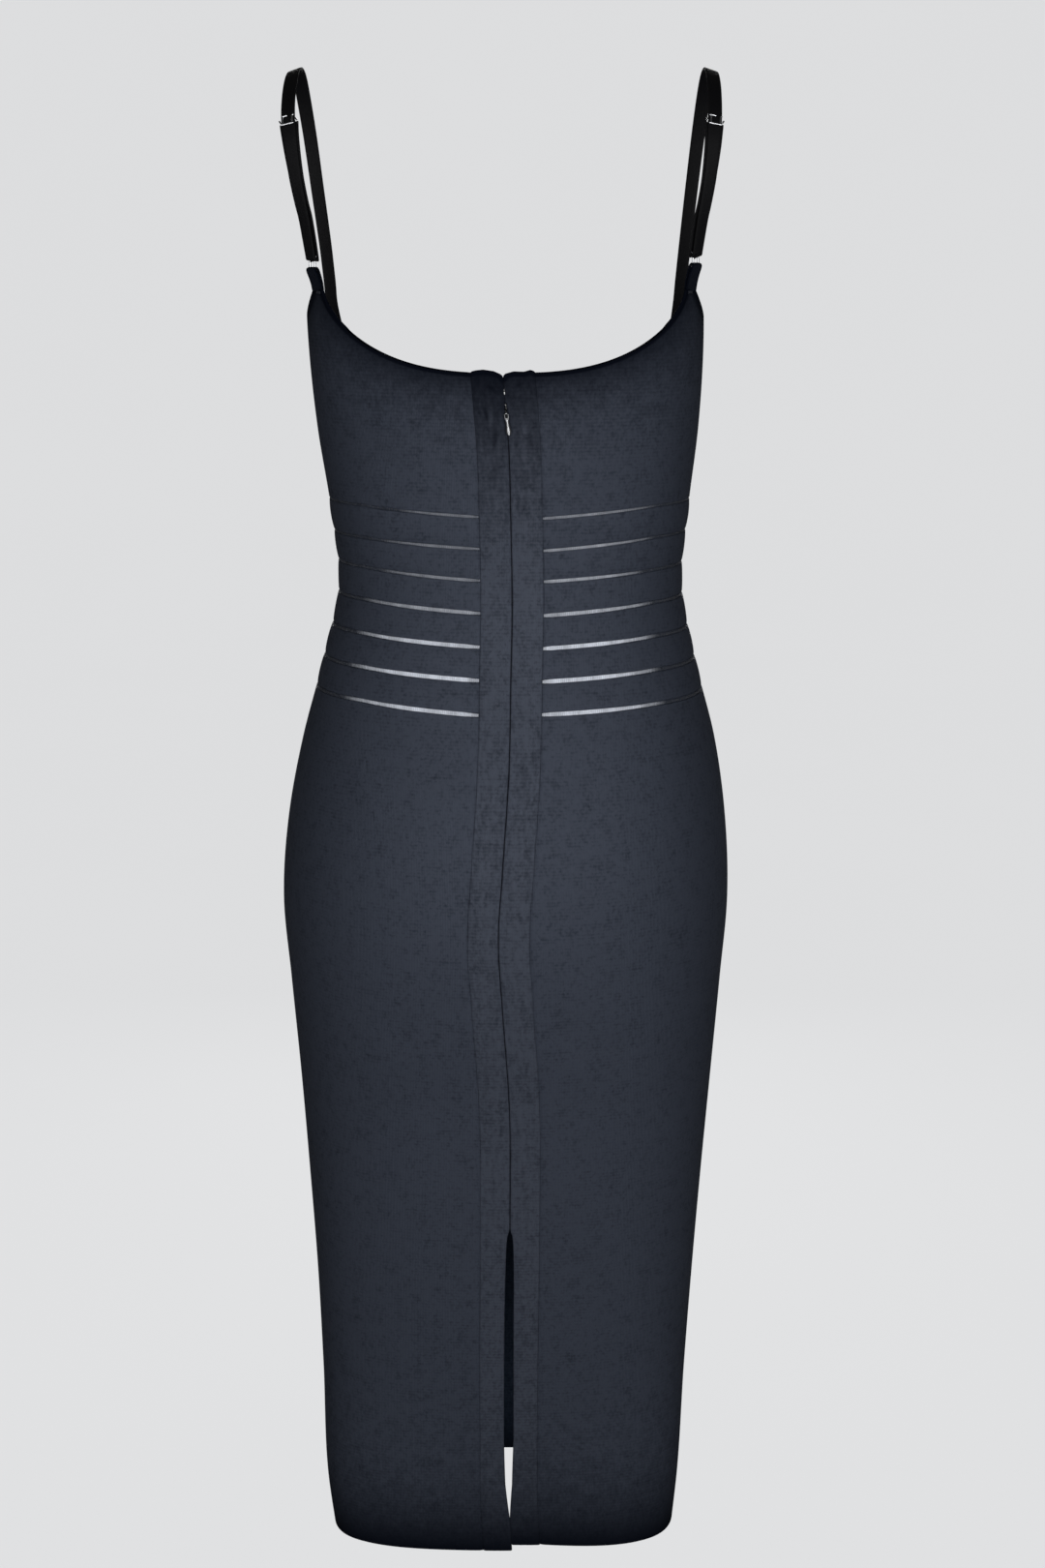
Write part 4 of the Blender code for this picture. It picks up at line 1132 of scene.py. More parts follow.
def ladder_pale(face, distance, z):
    """How much of the pale yarn shows, with painted glints along each row."""
    pale = np.zeros(np.shape(z))
    start = BAND_WIDTH if face == BACK else 0.0
    for row in LADDERS:
        off = np.abs(z - row.z)
        for side, level, end in (
            (LEFT, row.pale_left, row.end_left), (RIGHT, row.pale_right, row.end_right)
        ):
            if face == FRONT:
                level, end = level * FRONT_PALE, FRONT_PALE_END
            out = (side * distance - start) / (end - start)
            half = row.width / 2 * np.interp(out, *zip(*PALE_TAPER))
            inside = 1 - ease(off, half, half + LADDER_EDGE)
            run = np.interp(out, *zip(*PALE_RUN))
            # painted glints along the row
            run = run * (1 + PALE_GLINT * ripple(distance / PALE_GLINT_SPACE, 0.0, 90 * row.z))
            on_side = side * distance >= 0
            pale = pale + inside * level * np.where(on_side, run, 0.0)
    return pale


def row_climb(face, distance, z):
    """How far the knit's rows climb on their way round from the centre back."""
    heights = [row.z for row in ROW_CLIMB]
    near_left, near_right, far_left, far_right = (
        np.interp(z, heights, [getattr(row, column) for row in ROW_CLIMB])
        for column in ("near_left", "near_right", "far_left", "far_right"))
    if face == FRONT:
        return blend(far_left, far_right, 0.5 + 0.5 * distance / side_distance(FRONT, z))
    out = np.clip((np.abs(distance) - BAND_WIDTH) / CLIMB_RUN, 0, 1)
    left, right = blend(near_left, far_left, out), blend(near_right, far_right, out)
    return np.where(distance < 0, left, right)


def side_seam(face, side, z):
    """How far round each row meets the side seam, once it has climbed."""
    climb = row_climb(face, side * side_distance(face, z), z)
    return side_distance(face, z + climb) - SEAM / 2


def crease_rise(face, distance, z, creases):
    """How far the creases lift the cloth."""
    rise = np.zeros(np.shape(z))
    for crease in creases:
        if crease.face != face:
            continue
        run_x, run_z = crease.end_x - crease.start_x, crease.end_z - crease.start_z
        length = math.hypot(run_x, run_z)
        from_x, from_z = distance - crease.start_x, z - crease.start_z
        share = (from_x * run_x + from_z * run_z) / length**2
        off = (from_x * run_z - from_z * run_x) / length
        off = off + CREASE_WANDER * crease.reach * np.sin(5.0 * share + 90 * crease.start_x)
        along = ease(share, -0.15, 0.35) * (1 - ease(share, 0.6, 1.15))
        swing = 1 + CREASE_SWING * np.sin(9.0 * share + 40 * crease.start_z)
        rise = rise + crease.rise * along * swing * np.exp(-((off / crease.reach) ** 2))
    return rise


def waist_heights():
    """Heights of the mesh rows through the waist, close together at each ladder row."""
    heights = []
    last = WAIST_BASE
    for row in reversed(LADDERS):
        half = row.width / 2
        steps = [half * share for share in (0.0, 0.6, 1.0)]
        steps += [half + LADDER_EDGE * share for share in (0.5, 1.0, 2.0)]
        around = sorted([row.z - step for step in steps[1:]] + [row.z + step for step in steps])
        heights += list(np.linspace(last, around[0], STRIP_ROWS + 2)[1:-1]) + around
        last = around[-1]
    return heights + list(np.linspace(last, BODICE_BASE, STRIP_ROWS)[1:])


def panel_heights(hem, top, waist=True):
    """Heights of a panel's mesh points, and how far up the bodice each lies.

    hem and top give the lower and upper edge of each column.
    """
    if waist:
        skirt = np.arange(SKIRT_BASE, WAIST_BASE, SKIRT_ROW_SPACE)
        level = list(skirt) + [WAIST_BASE] + waist_heights()
        shares = 1 - (1 - np.linspace(0, 1, BODICE_ROWS + 1)[1:]) ** BODICE_CROWDING
        foot = np.linspace(0, 1, HEM_ROWS + 1)[:-1]
    else:
        count = round((BODICE_BASE - SKIRT_BASE) / BAND_ROW_SPACE)
        level = list(np.linspace(SKIRT_BASE, BODICE_BASE, count + 1))
        shares = np.linspace(0, 1, BAND_TOP_ROWS + 1)[1:]
        foot = np.linspace(0, 1, BAND_HEM_ROWS + 1)[:-1]
    rows = [blend(hem, SKIRT_BASE, share) for share in foot]
    rows += [np.full(hem.shape, z) for z in level]
    rows += [blend(BODICE_BASE, top, share) for share in shares]
    up = [0.0] * (len(foot) + len(level)) + list(shares)
    return np.array(rows), np.array(up)[:, None]


def back_edge(place):
    """Top edge of a back at a place from 0 at the band to LAST_PLACE at the side seam.

    Gives x, how far it lies past the tab's inner edge, what is left of the armhole, and height.
    """
    first = math.asin(BAND_WIDTH / NECK_HALF)
    x = NECK_HALF * np.sin(blend(first, math.pi / 2, np.minimum(place / NECK_COLUMNS, 1)))
    beyond = (TAB_WIDTH + PEAK_SPREAD) * np.clip(place - NECK_COLUMNS, 0, 1)
    left = 1 - np.clip((place - NECK_COLUMNS - 1) / ARMHOLE_COLUMNS, 0, 1)
    top = np.where(place <= NECK_COLUMNS, back_neckline(x), blend(SIDE_TOP, NECK_PEAK, left**2))
    return x, beyond, left, top


def front_edge(place):
    """The same for half the front, from 0 at the middle to LAST_PLACE at the side seam."""
    x = STRAP_POINT_X * np.minimum(place / NECK_COLUMNS, 1)
    beyond = STRAP_POINT_WIDTH * np.clip(place - NECK_COLUMNS, 0, 1)
    left = 1 - np.clip((place - NECK_COLUMNS - 1) / ARMHOLE_COLUMNS, 0, 1)
    fall = (np.sqrt(left + FALL_START**2) - FALL_START) / FALL_LENGTH
    armhole = blend(SIDE_TOP, STRAP_POINT_Z, fall)
    top = np.where(place <= NECK_COLUMNS, sweetheart(x), armhole)
    return x, beyond, left, top


def edge_distance(face, z, x, beyond, left, end):
    """Distance round at which points of the top edge lie, at the heights below them."""
    peak = distance_at_x(face, x, z) + beyond
    return np.where(left < 1, blend(end, peak, left), peak)


LAST_PLACE = NECK_COLUMNS + 1 + ARMHOLE_COLUMNS
EDGE_PLACES = np.concatenate((
    np.linspace(0, NECK_COLUMNS, NECK_STEPS + 1)[:-1],
    np.linspace(NECK_COLUMNS, NECK_COLUMNS + 1, PEAK_STEPS + 1)[:-1],
    np.linspace(NECK_COLUMNS + 1, LAST_PLACE, ARMHOLE_STEPS + 1),
))


def tuck_edges(distance, z, side, first_over=SEWN_OVER):
    """Draw the border of a grid in, so that its round edge ends on the cut line.

    A sewn column presses past the seam line instead, the first one by first_over.
    """
    z[0] += EDGE_ROLL
    z[-1] -= EDGE_ROLL
    distance[:, 0] += side * (SEWN_ROLL - first_over)
    distance[:, -1] -= side * (SEWN_ROLL - SEWN_OVER)


def way_to_top(distance, z, first=0):
    """How far over the cloth each point of a grid lies from its top edge.

    The edge is taken from one of the grid's columns on.
    """
    columns = np.arange(z.shape[1])
    steps = np.linspace(first, columns[-1], 6 * len(columns))
    edge_x, edge_z = (np.interp(steps, columns, grid[-1]) for grid in (distance, z))
    return np.hypot(distance[..., None] - edge_x, z[..., None] - edge_z).min(axis=-1)


def painted_edge_shade(distance, z, hem):
    """Painted shade of the cloth near its hem or top edge, from 0 to 1."""
    below, above = way_to_top(distance, z), np.maximum(z - hem, 0)
    painted_top_shade = np.maximum(TOP_SHADE * np.exp(-below / TOP_SHADE_REACH), 1 - ease(below, *TOP_LINE))
    return np.maximum(painted_top_shade, HEM_SHADE * np.exp(-above / HEM_SHADE_REACH))


def panel_piece(name, face, distance, z, rise, finish, node, edge, pale):
    """A sheet of knit on the dress's surface, lifted by rise.

    edge is the painted shade along its borders, and pale how much of the ladder yarn shows.
    """
    facing = body_facing(face, distance, z)
    surface = body_surface(face, distance, z)
    outer = surface + facing * rise[..., None]
    uv = np.stack((distance, z), axis=-1)
    piece = cloth_shell(name, outer, surface - facing * KNIT, uv,
                        {"edge": edge, "ladder": pale}, EDGE_ROLL, SEWN_ROLL)
    finish_piece(piece, finish, [node])
    declare_sheet(outer)


def make_back_panel(side, word):
    """Half of the back, from its zip band to the side seam."""
    place = EDGE_PLACES
    x, beyond, left, top = back_edge(place)
    hem = HEM[side] - HEM_SAG[side] * np.sin(math.pi * place / LAST_PLACE)
    z, share = panel_heights(hem, top)
    start = BAND_WIDTH + SEAM / 2 + side * along_table(CENTRE_SEAM, z, "offset")
    end = side_seam(BACK, side, z)
    at_top = edge_distance(BACK, z, x, beyond, left, end)
    at_top[:, 0] = start[:, 0]
    distance = side * blend(blend(start, end, place / LAST_PLACE), at_top, share)
    tuck_edges(distance, z, side)
    rise = crease_rise(BACK, distance, z, CREASES) - ladder_depth(z)
    # Painted shade along the armhole, and near the top edge and the hem.
    armhole = int(np.searchsorted(place, NECK_COLUMNS + 1))
    painted_armhole_shade = ARMHOLE_SHADE * (1 - ease(way_to_top(distance, z, armhole), *ARMHOLE_LINE))
    edge = np.maximum(painted_edge_shade(distance, z, hem), painted_armhole_shade)
    panel_piece(
        f"back_{word}_knit", BACK, distance, z + row_climb(BACK, distance, z), rise,
        panel_finish(), f"back_{word}", edge, ladder_pale(BACK, distance, z))


def make_front_panel():
    """The whole front, from side seam to side seam."""
    place = np.concatenate((-EDGE_PLACES[:0:-1], EDGE_PLACES))
    x, beyond, left, top = front_edge(np.abs(place))
    side = np.where(place < 0, -1, 1)
    reach = np.abs(place) / LAST_PLACE
    hem = blend(HEM_FRONT, np.where(place < 0, HEM[LEFT], HEM[RIGHT]), reach**2)
    z, share = panel_heights(hem, top)
    end = side_seam(FRONT, side, z)
    at_top = edge_distance(FRONT, z, x, beyond, left, end)
    distance = side * blend(end * reach, at_top, share)
    tuck_edges(distance, z, RIGHT)
    rise = crease_rise(FRONT, distance, z, CREASES) - ladder_depth(z)
    climbed = z + row_climb(FRONT, distance, z)
    # The front's borders get painted shade near the top edge and the hem.
    panel_piece(
        "front_knit", FRONT, distance, climbed, rise, panel_finish(), "front",
        painted_edge_shade(distance, climbed, hem), ladder_pale(FRONT, distance, z))


def band_waves(side, across, z):
    """Uneven puckers of a band: upright streaks, blots, and gathers that fade off the zip."""
    wander = 0.3 * ripple(z / 0.05, 0.0, side)
    streaks = ripple(across * BAND_STREAKS + wander, z / 0.013, 1.7 + side)
    blots = ripple(z / BAND_BLOT, across * 6.0, 4.2 + side) * ripple(across * 2.1, z / 0.009, 0.6)
    gathers = ripple(z / BAND_GATHER, across * 4.0, side) * (1 - 0.5 * ease(across, 0.1, 1.0))
    return 0.55 * streaks + 0.6 * blots + 0.25 * gathers


def make_band(side, word):
    """A zip band: a doubled strip of knit, puckered along the zip."""
    across = np.linspace(0, 1, BAND_COLUMNS + 1)
    lift = np.interp(across, *zip(*BAND_TOPS[side]))
    top = back_neckline(across * BAND_WIDTH) + lift
    hem = np.full(across.shape, HEM[side])
    z, _ = panel_heights(hem, top, waist=False)
    offset = along_table(CENTRE_SEAM, z, "offset")
    own = side * blend(gap_between_bands(z) / 2, BAND_WIDTH - SEAM / 2, across)
    tuck_edges(own, z, side, first_over=0.0)
    distance = offset + own
    amount = along_table(PUCKERS, z, "amount") * sizes().band_pucker
    waves = band_waves(side, across, z)
    crown = BAND_CROWN * (1 - (2 * across - 1) ** 4)
    creases = crease_rise(BACK, distance, z, BAND_CREASES)
    rise = BAND_RAISE + crown + np.maximum(amount * waves, -BAND_SINK) + creases
    # Painted shade: darker down from the top of the band, in the troughs of its puckers and in its
    # sunk creases; painted light on its raised creases.
    shaded_folds = np.clip(0.5 - 0.6 * waves, 0, 1)
    depth, reach = BAND_SHADE[side]
    painted_top_shade = depth * np.exp(-np.maximum(top - z, 0) / reach)
    edge = np.maximum(painted_edge_shade(distance, z, hem), painted_top_shade)
    edge = edge + (1 - edge) * FOLD_SHADE * shaded_folds * np.minimum(amount / FOLD_FULL, 1)
    panel_piece(
        f"band_{word}_knit", BACK, distance, z, rise, band_finish(), f"zip_band_{word}",
        np.clip(edge - CREASE_SHADE * creases, 0, 1), np.zeros(z.shape))


def make_strands(name, face, side):
    """Strands of pale monofilament that cross each ladder row from strip to strip."""
    pitch = sizes().strand_pitch
    places, shades = [], []
    for number, row in enumerate(LADDERS):
        start = 0.0
        if face == BACK:
            start = BAND_WIDTH + side * centre_offset(row.z) + STRAND_START
        half = row.width / 2 + LADDER_EDGE * STRAND_HOLD
        for i in range(int((side_distance(face, row.z) - STRAND_END - start) / pitch)):
            stray = STRAND_STRAY * (uneven(i, number, side) - 0.5)
            distance = side * (start + (i + 0.5 + stray) * pitch)
            lean = STRAND_LEAN * (uneven(i, number + 7, side) - 0.5)
            z = row.z + float(row_climb(face, distance, row.z))
            place = np.array([distance]), np.array([row.z])
            facing = body_facing(face, *place)[0]
            low = body_surface(face, distance - lean, z - half) - facing * STRAND_SINK
            high = body_surface(face, distance + lean, z + half) - facing * STRAND_SINK
            places.append(thread_place(low, high, facing))
            pale = ladder_pale(face, *place)[0]
            shades.append(min(pale * blend(0.75, 1.25, uneven(i, number, 3)), 1.0))
    piece = copies(name, thread_pattern(STRAND_RADIUS, 5), places, {"ladder": np.array(shades)})
    finish_piece(piece, ladder_finish())


# ---------------------------------------------------------------- zip


def make_tape(side, word):
    """Woven tape of the zip, inside a band and open round the slider."""
    z = np.arange(ZIP_TAPE_END, ZIP_TAPE_TOP, TAPE_ROW_SPACE)
    z = np.append(z[z < ZIP_TAPE_TOP - TAPE_ROW_SPACE / 3], ZIP_TAPE_TOP)[:, None]
    across = np.linspace(0, 1, TAPE_COLUMNS + 1)[None, :]
    opening = ease(z, ZIP_TAPE_PARTING, ZIP_TAPE_FORK)
    start = blend(SEAM / 2, SLIDER_BODY[0] / 2 + TAPE_CLEAR, opening)
    offset = along_table(CENTRE_SEAM, z, "offset")
    distance = offset + side * blend(start + TAPE_ROLL, ZIP_TAPE_WIDTH - TAPE_ROLL, across)
    z = np.broadcast_to(z, distance.shape)
    facing = body_facing(BACK, distance, z)
    surface = body_surface(BACK, distance, z)
    depth = KNIT + SEAM + TAPE_RIPPLE * (1 + ripple(z / TAPE_RIPPLE_LENGTH, across, side))
    outer = surface - facing * depth[..., None]
    inner = surface - facing * (KNIT + SEAM + ZIP_TAPE)
    uv = np.stack((distance, z), axis=-1)
    piece = cloth_shell(f"tape_{word}_weave", outer, inner, uv, {}, TAPE_ROLL, rim_steps=2)
    finish_piece(piece, tape_finish(), [f"zip_tape_{word}"])
    declare_sheet(outer)


TUBE_REFERENCE = np.array([0.31, 0.17, 0.93])  # any way that the tube never runs along


def tube(name, path, radius, sides):
    """A closed round tube along an array of points."""
    ahead = unit(np.gradient(path, axis=0))
    beside = unit(np.cross(ahead, TUBE_REFERENCE))
    over = np.cross(ahead, beside)
    angle = np.linspace(0, math.tau, sides, endpoint=False)[None, :, None]
    ring = np.cos(angle) * beside[:, None] + np.sin(angle) * over[:, None]
    points = (path[:, None] + ring * radius).reshape(-1, 3)
    index = np.arange(len(path) * sides).reshape(-1, sides)
    near, far = index[:-1], index[1:]
    quads = np.stack((near, np.roll(near, -1, 1), np.roll(far, -1, 1), far), axis=-1)
    faces = quads.reshape(-1, 4).tolist() + [index[0, ::-1].tolist(), index[-1].tolist()]
    return mesh_piece(name, points, faces)


def make_coil(side, word):
    """One half of the zip's coil: flat turns that reach across the seam between the other's."""
    pitch = sizes().coil_pitch
    turns = int((ZIP_SLIDER_Z - COIL_SLIDER_ROOM - ZIP_TAPE_END - COIL_END_ROOM) / pitch)
    angle = np.linspace(0, turns * math.tau, turns * 8 + 1)
    z = ZIP_TAPE_END + COIL_START + angle / math.tau * pitch + (side + 1) / 4 * pitch
    across = side * COIL_MIDDLE - side * COIL_REACH * np.cos(angle)
    distance = along_table(CENTRE_SEAM, z, "offset") + across
    depth = KNIT + SEAM + ZIP_TAPE + COIL_DEPTH + COIL_HEIGHT * np.sin(angle)
    path = body_surface(BACK, distance, z) - body_facing(BACK, distance, z) * depth[:, None]
    finish_piece(tube(f"coil_{word}", path, COIL_WIRE, 5), coil_finish())


def zip_centre():
    """The point of the bands' outer face that the slider's bridge stands over."""
    outer = body_vector(BACK, centre_offset(ZIP_SLIDER_Z), ZIP_SLIDER_Z)
    return outer + Vector((0, -BAND_RAISE, 0))


def settle(piece, place):
    """Put a piece where it belongs and write the place into its mesh."""
    piece.matrix_world = place
    only(piece)
    bpy.ops.object.transform_apply(location=True, rotation=True, scale=True)
    bpy.ops.object.mode_set(mode="EDIT")
    bpy.ops.mesh.select_all(action="SELECT")
    bpy.ops.mesh.normals_make_consistent(inside=False)
    bpy.ops.object.mode_set(mode="OBJECT")
    bpy.ops.object.shade_smooth_by_angle(angle=math.radians(40))


def bent_wire(name, radius, moves, closed=False, sides=12, heading=(1, 0, 0)):
    """A round wire that starts at the origin and is pushed along straights and round bends.

    A move is a length, or a bend as (radius, angle in degrees, axis).
    """
    heading = Vector(heading)
    position = Vector((0, 0, 0))
    turn = Vector((0, 0, 1)).rotation_difference(heading).to_euler()
    deselect_all()
    bpy.ops.mesh.primitive_circle_add(
        vertices=sides, radius=radius, location=(0, 0, 0), rotation=turn)
    piece = bpy.context.object
    piece.name = name
    bpy.ops.object.transform_apply(location=False, rotation=True, scale=False)
    bpy.ops.object.mode_set(mode="EDIT")
    bpy.ops.mesh.select_all(action="SELECT")
    if not closed:
        bpy.ops.mesh.edge_face_add()
    for move in moves:
        if isinstance(move, tuple):
            bend, degrees, axis = move
            axis = Vector(axis).normalized() * math.copysign(1, degrees)
            angle = math.radians(abs(degrees))
            centre = position + axis.cross(heading) * bend
            bpy.ops.mesh.spin(steps=max(int(abs(degrees) / 12), 2), angle=angle,
                              center=centre, axis=axis)
            spun = Matrix.Rotation(angle, 3, axis)
            position = centre + spun @ (position - centre)
            heading = spun @ heading
        else:
            bpy.ops.mesh.extrude_region_move(TRANSFORM_OT_translate={"value": heading * move})
            position = position + heading * move
    bpy.ops.mesh.select_all(action="SELECT")
    bpy.ops.mesh.remove_doubles(threshold=radius * 0.05)
    bpy.ops.object.mode_set(mode="OBJECT")
    return piece


def join(first, other):
    """Join a piece into the first one."""
    only(first)
    other.select_set(True)
    bpy.ops.object.join()


def make_slider():
    """Slider: a body behind the bands, wider at its mouth, and the bridge over them."""
    depth = KNIT + BAND_RAISE + SEAM
    across, deep, tall = SLIDER_BODY
    deselect_all()
    bpy.ops.mesh.primitive_cube_add(
        size=1.0, location=(0, depth + deep / 2, SLIDER_BODY_RISE))
    body = bpy.context.object
    body.name = "zip_slider_body"
    body.scale = (across, deep, tall)
    bpy.ops.object.transform_apply(location=True, rotation=True, scale=True)
    bpy.ops.object.mode_set(mode="EDIT")
    select_parts(body, "FACE", lambda face: face.normal.z < -0.9)
    bpy.ops.transform.resize(value=(SLIDER_NARROWING, 1.0, 1.0))
    bpy.ops.object.mode_set(mode="OBJECT")
    change(body, "BEVEL", width=SLIDER_EDGE, segments=3)
    leg = depth + deep / 2 + BRIDGE_RISE - BRIDGE_WIRE - BRIDGE_BEND
    span = 2 * (BRIDGE_HALF_LENGTH - BRIDGE_WIRE - BRIDGE_BEND)
    corner = (BRIDGE_BEND, 90, (-1, 0, 0))
    bridge = bent_wire("bridge", BRIDGE_WIRE, [leg, corner, span, corner, leg],
                       heading=(0, -1, 0))
    shift(bridge, (0, depth + deep / 2, BRIDGE_HALF_LENGTH - BRIDGE_WIRE))
    join(body, bridge)
    settle(body, Matrix.Translation(zip_centre()))
    finish_piece(body, slider_finish(), ["zip_slider"])


def make_pull():
    """Pull tab: a flat drop with a window at its top, hung from the bridge."""
    top, end = PULL_THICK / 2, PULL_THICK / 2 - PULL_LENGTH
    window_top, window_end = -PULL_THICK / 2, -PULL_THICK / 2 - PULL_WINDOW
    # height, half width, and half width of the window or of the middle columns below it
    outline = (
        (top, 0.00135, 0.0006),
        (window_top, 0.00160, 0.00095),
        ((window_top + window_end) / 2, 0.00168, 0.00100),
        (window_end, 0.00150, 0.00075),
        (window_end - 0.0024, 0.00128, 0.0005),
        (window_end - 0.0050, 0.00145, 0.0006),
        (end + 0.0036, 0.00186, 0.0008),
        (end + 0.0016, 0.00182, 0.0008),
        (end + 0.0004, 0.00120, 0.0005),
        (end, 0.00050, 0.0002),
    )
    deselect_all()
    bpy.ops.mesh.primitive_grid_add(
        x_subdivisions=PULL_COLUMNS, y_subdivisions=len(outline) - 1, size=1.0,
        rotation=(math.pi / 2, 0, 0))
    piece = bpy.context.object
    piece.name = "zip_pull_drop"
    bpy.ops.object.transform_apply(location=False, rotation=True, scale=False)
    bpy.ops.object.mode_set(mode="EDIT")
    shape = bmesh.from_edit_mesh(piece.data)
    for point in shape.verts:
        row = round((0.5 - point.co.z) * (len(outline) - 1))
        column = round(point.co.x * PULL_COLUMNS)
        height, half, inner = outline[row]
        point.co.x = math.copysign((0.0, inner, half)[abs(column)], column) if column else 0.0
        point.co.z = height
    window = [face for face in shape.faces
              if window_end < face.calc_center_median().z < window_top
              and abs(face.calc_center_median().x) < PULL_MIDDLE]
    bmesh.ops.delete(shape, geom=window, context="FACES")
    bmesh.update_edit_mesh(piece.data)
    bpy.ops.object.mode_set(mode="OBJECT")
    change(piece, "SOLIDIFY", thickness=PULL_THICK * 0.5, offset=0.0)
    for point in piece.data.vertices:
        half = min(outline, key=lambda row: abs(row[0] - point.co.z))[1]
        swell = 1 - PULL_ROUNDING * (point.co.x / half) ** 2
        front, back = -PULL_FRONT * PULL_THICK * swell, PULL_BACK * PULL_THICK
        point.co.y = front if point.co.y < 0 else back
    change(piece, "SUBSURF", levels=2, render_levels=2)
    place = Matrix.Translation(zip_centre() + Vector((0, -PULL_STAND_OFF, 0)))
    settle(piece, place @ Matrix.Rotation(-PULL_LEAN, 4, "Y"))
    finish_piece(piece, pull_finish(), ["zip_pull"], body="zip_pull")


def eye_step(inwards, axis):
    """Moves of the eye's wire where it steps in towards the hook."""
    return [(EYE_BEND, inwards, axis), EYE_BEND, (EYE_BEND, -inwards, axis)]


def make_hook_and_eye():
    """A wire eye inside the left band and a wire hook inside the right one."""
    depth = KNIT + SEAM + HOOK_WIRE
    centre = body_vector(BACK, centre_offset(HOOK_Z), HOOK_Z, depth)
    inwards = math.degrees(math.atan2(HOOK_BEND, EYE_STEP))
    run = EYE_LENGTH - EYE_REACH - EYE_STEP
    eye = bent_wire("eye_wire", HOOK_WIRE, [
        EYE_FOOT, *eye_step(inwards, (0, 0, 1)), run, (EYE_LOOP, -180, (0, 1, 0)),
        run, *eye_step(inwards, (0, 0, -1)), EYE_FOOT,
    ], sides=10)
    settle(eye, Matrix.Translation(centre + Vector((-EYE_LENGTH, 0, EYE_LOOP))))
    finish_piece(eye, metal_finish(), ["eye"])
    hook = bent_wire("hook_wire", HOOK_WIRE, [
        HOOK_LENGTH + HOOK_REACH, (HOOK_BEND, -180, (0, 0, 1)), HOOK_REACH + HOOK_BEND,
    ], sides=10, heading=(-1, 0, 0))
    settle(hook, Matrix.Translation(centre + Vector((HOOK_LENGTH, 0, 0))))
    finish_piece(hook, metal_finish(), ["hook"])


# ---------------------------------------------------------------- straps

UP = Vector((0, 0, 1))
StrapFrame = namedtuple("StrapFrame", "middle across along out")


def frames_along(middles, faces):
    """Frames of a strip through its middles, turned to face as near as may be to its faces."""
    frames = []
    for i, (middle, face) in enumerate(zip(middles, faces)):
        before = middles[max(i - 1, 0)]
        after = middles[min(i + 1, len(middles) - 1)]
        along = (after - before).normalized()
        out = (face - along * face.dot(along)).normalized()
        frames.append(StrapFrame(middle, out.cross(along), along, out))
    return frames


def strap_frames(side):
    middles = [Vector((side * row.x + row.shift, row.y, row.z)) for row in STRAP_PATH]
    faces = [Vector((side * row.nx, row.ny, row.nz)) for row in STRAP_PATH]
    return frames_along(middles, faces)


def ring_frame(side):
    out = Vector((side * RING_NORMAL[0], RING_NORMAL[1], RING_NORMAL[2])).normalized()
    up = Vector((side * RING_LEAN[0], RING_LEAN[1], RING_LEAN[2]))
    up = (up - out * up.dot(out)).normalized()
    middle = Vector((side * RING_CENTRE[0], RING_CENTRE[1], RING_HEIGHT[side]))
    return StrapFrame(middle, up.cross(out), up, out)


def frame_matrix(spot, out_shift=0.0):
    """Place whose X runs across, Y along and Z out of a strap."""
    place = Matrix((spot.across, spot.along, spot.out)).transposed().to_4x4()
    place.translation = spot.middle + spot.out * out_shift
    return place


def catmull_rom(before, start, end, after, t):
    """A point between start and end on a smooth curve through four points."""
    bend = (2 * before - 5 * start + 4 * end - after) * t * t
    rest = (3 * start - before - 3 * end + after) * t * t * t
    return 0.5 * (2 * start + (end - before) * t + bend + rest)


def smooth_path(middles, faces, per_span):
    """More rows between the rows of a path, on a smooth curve through them."""
    last = len(middles) - 1
    smooth, looks = [], []
    for i in range(last):
        around = [middles[min(max(k, 0), last)] for k in range(i - 1, i + 3)]
        for step in range(per_span):
            t = step / per_span
            smooth.append(catmull_rom(*around, t))
            looks.append(faces[i].lerp(faces[i + 1], t))
    return smooth + [middles[-1]], looks + [faces[-1]]


def bar_turn(spot, bar_height, radius, upwards):
    """Middles and outward faces of a strip that turns round a bar of the ring."""
    centre = spot.middle + spot.along * bar_height
    sign = 1 if upwards else -1
    middles, faces = [], []
    for step in range(TURN_STEPS + 1):
        angle = math.radians(90 - 180 * step / TURN_STEPS)
        face = spot.out * math.sin(angle) + spot.along * math.cos(angle) * sign
        middles.append(centre + face * radius)
        faces.append(face.normalized())
    return middles, faces


def front_foot(side):
    """The end of the strap sewn to the inside of the front, from its tip upwards."""
    lie = KNIT + SEAM + FOOT_HOLLOW + ELASTIC / 2
    middles, faces = [], []
    for rise in (-FOOT_LENGTH, -FOOT_LENGTH / 2, FOOT_RISE):
        z = STRAP_POINT_Z + rise
        distance = side * (float(distance_at_x(FRONT, STRAP_POINT_X, z)) + STRAP_POINT_WIDTH / 2)
        face = level_facing(FRONT, distance, z)
        middles.append(body_vector(FRONT, distance, z) - face * lie)
        faces.append(face)
    return middles, faces


TURN_RADIUS = RING_WIRE + SEAM + RING_PLAY + ELASTIC / 2


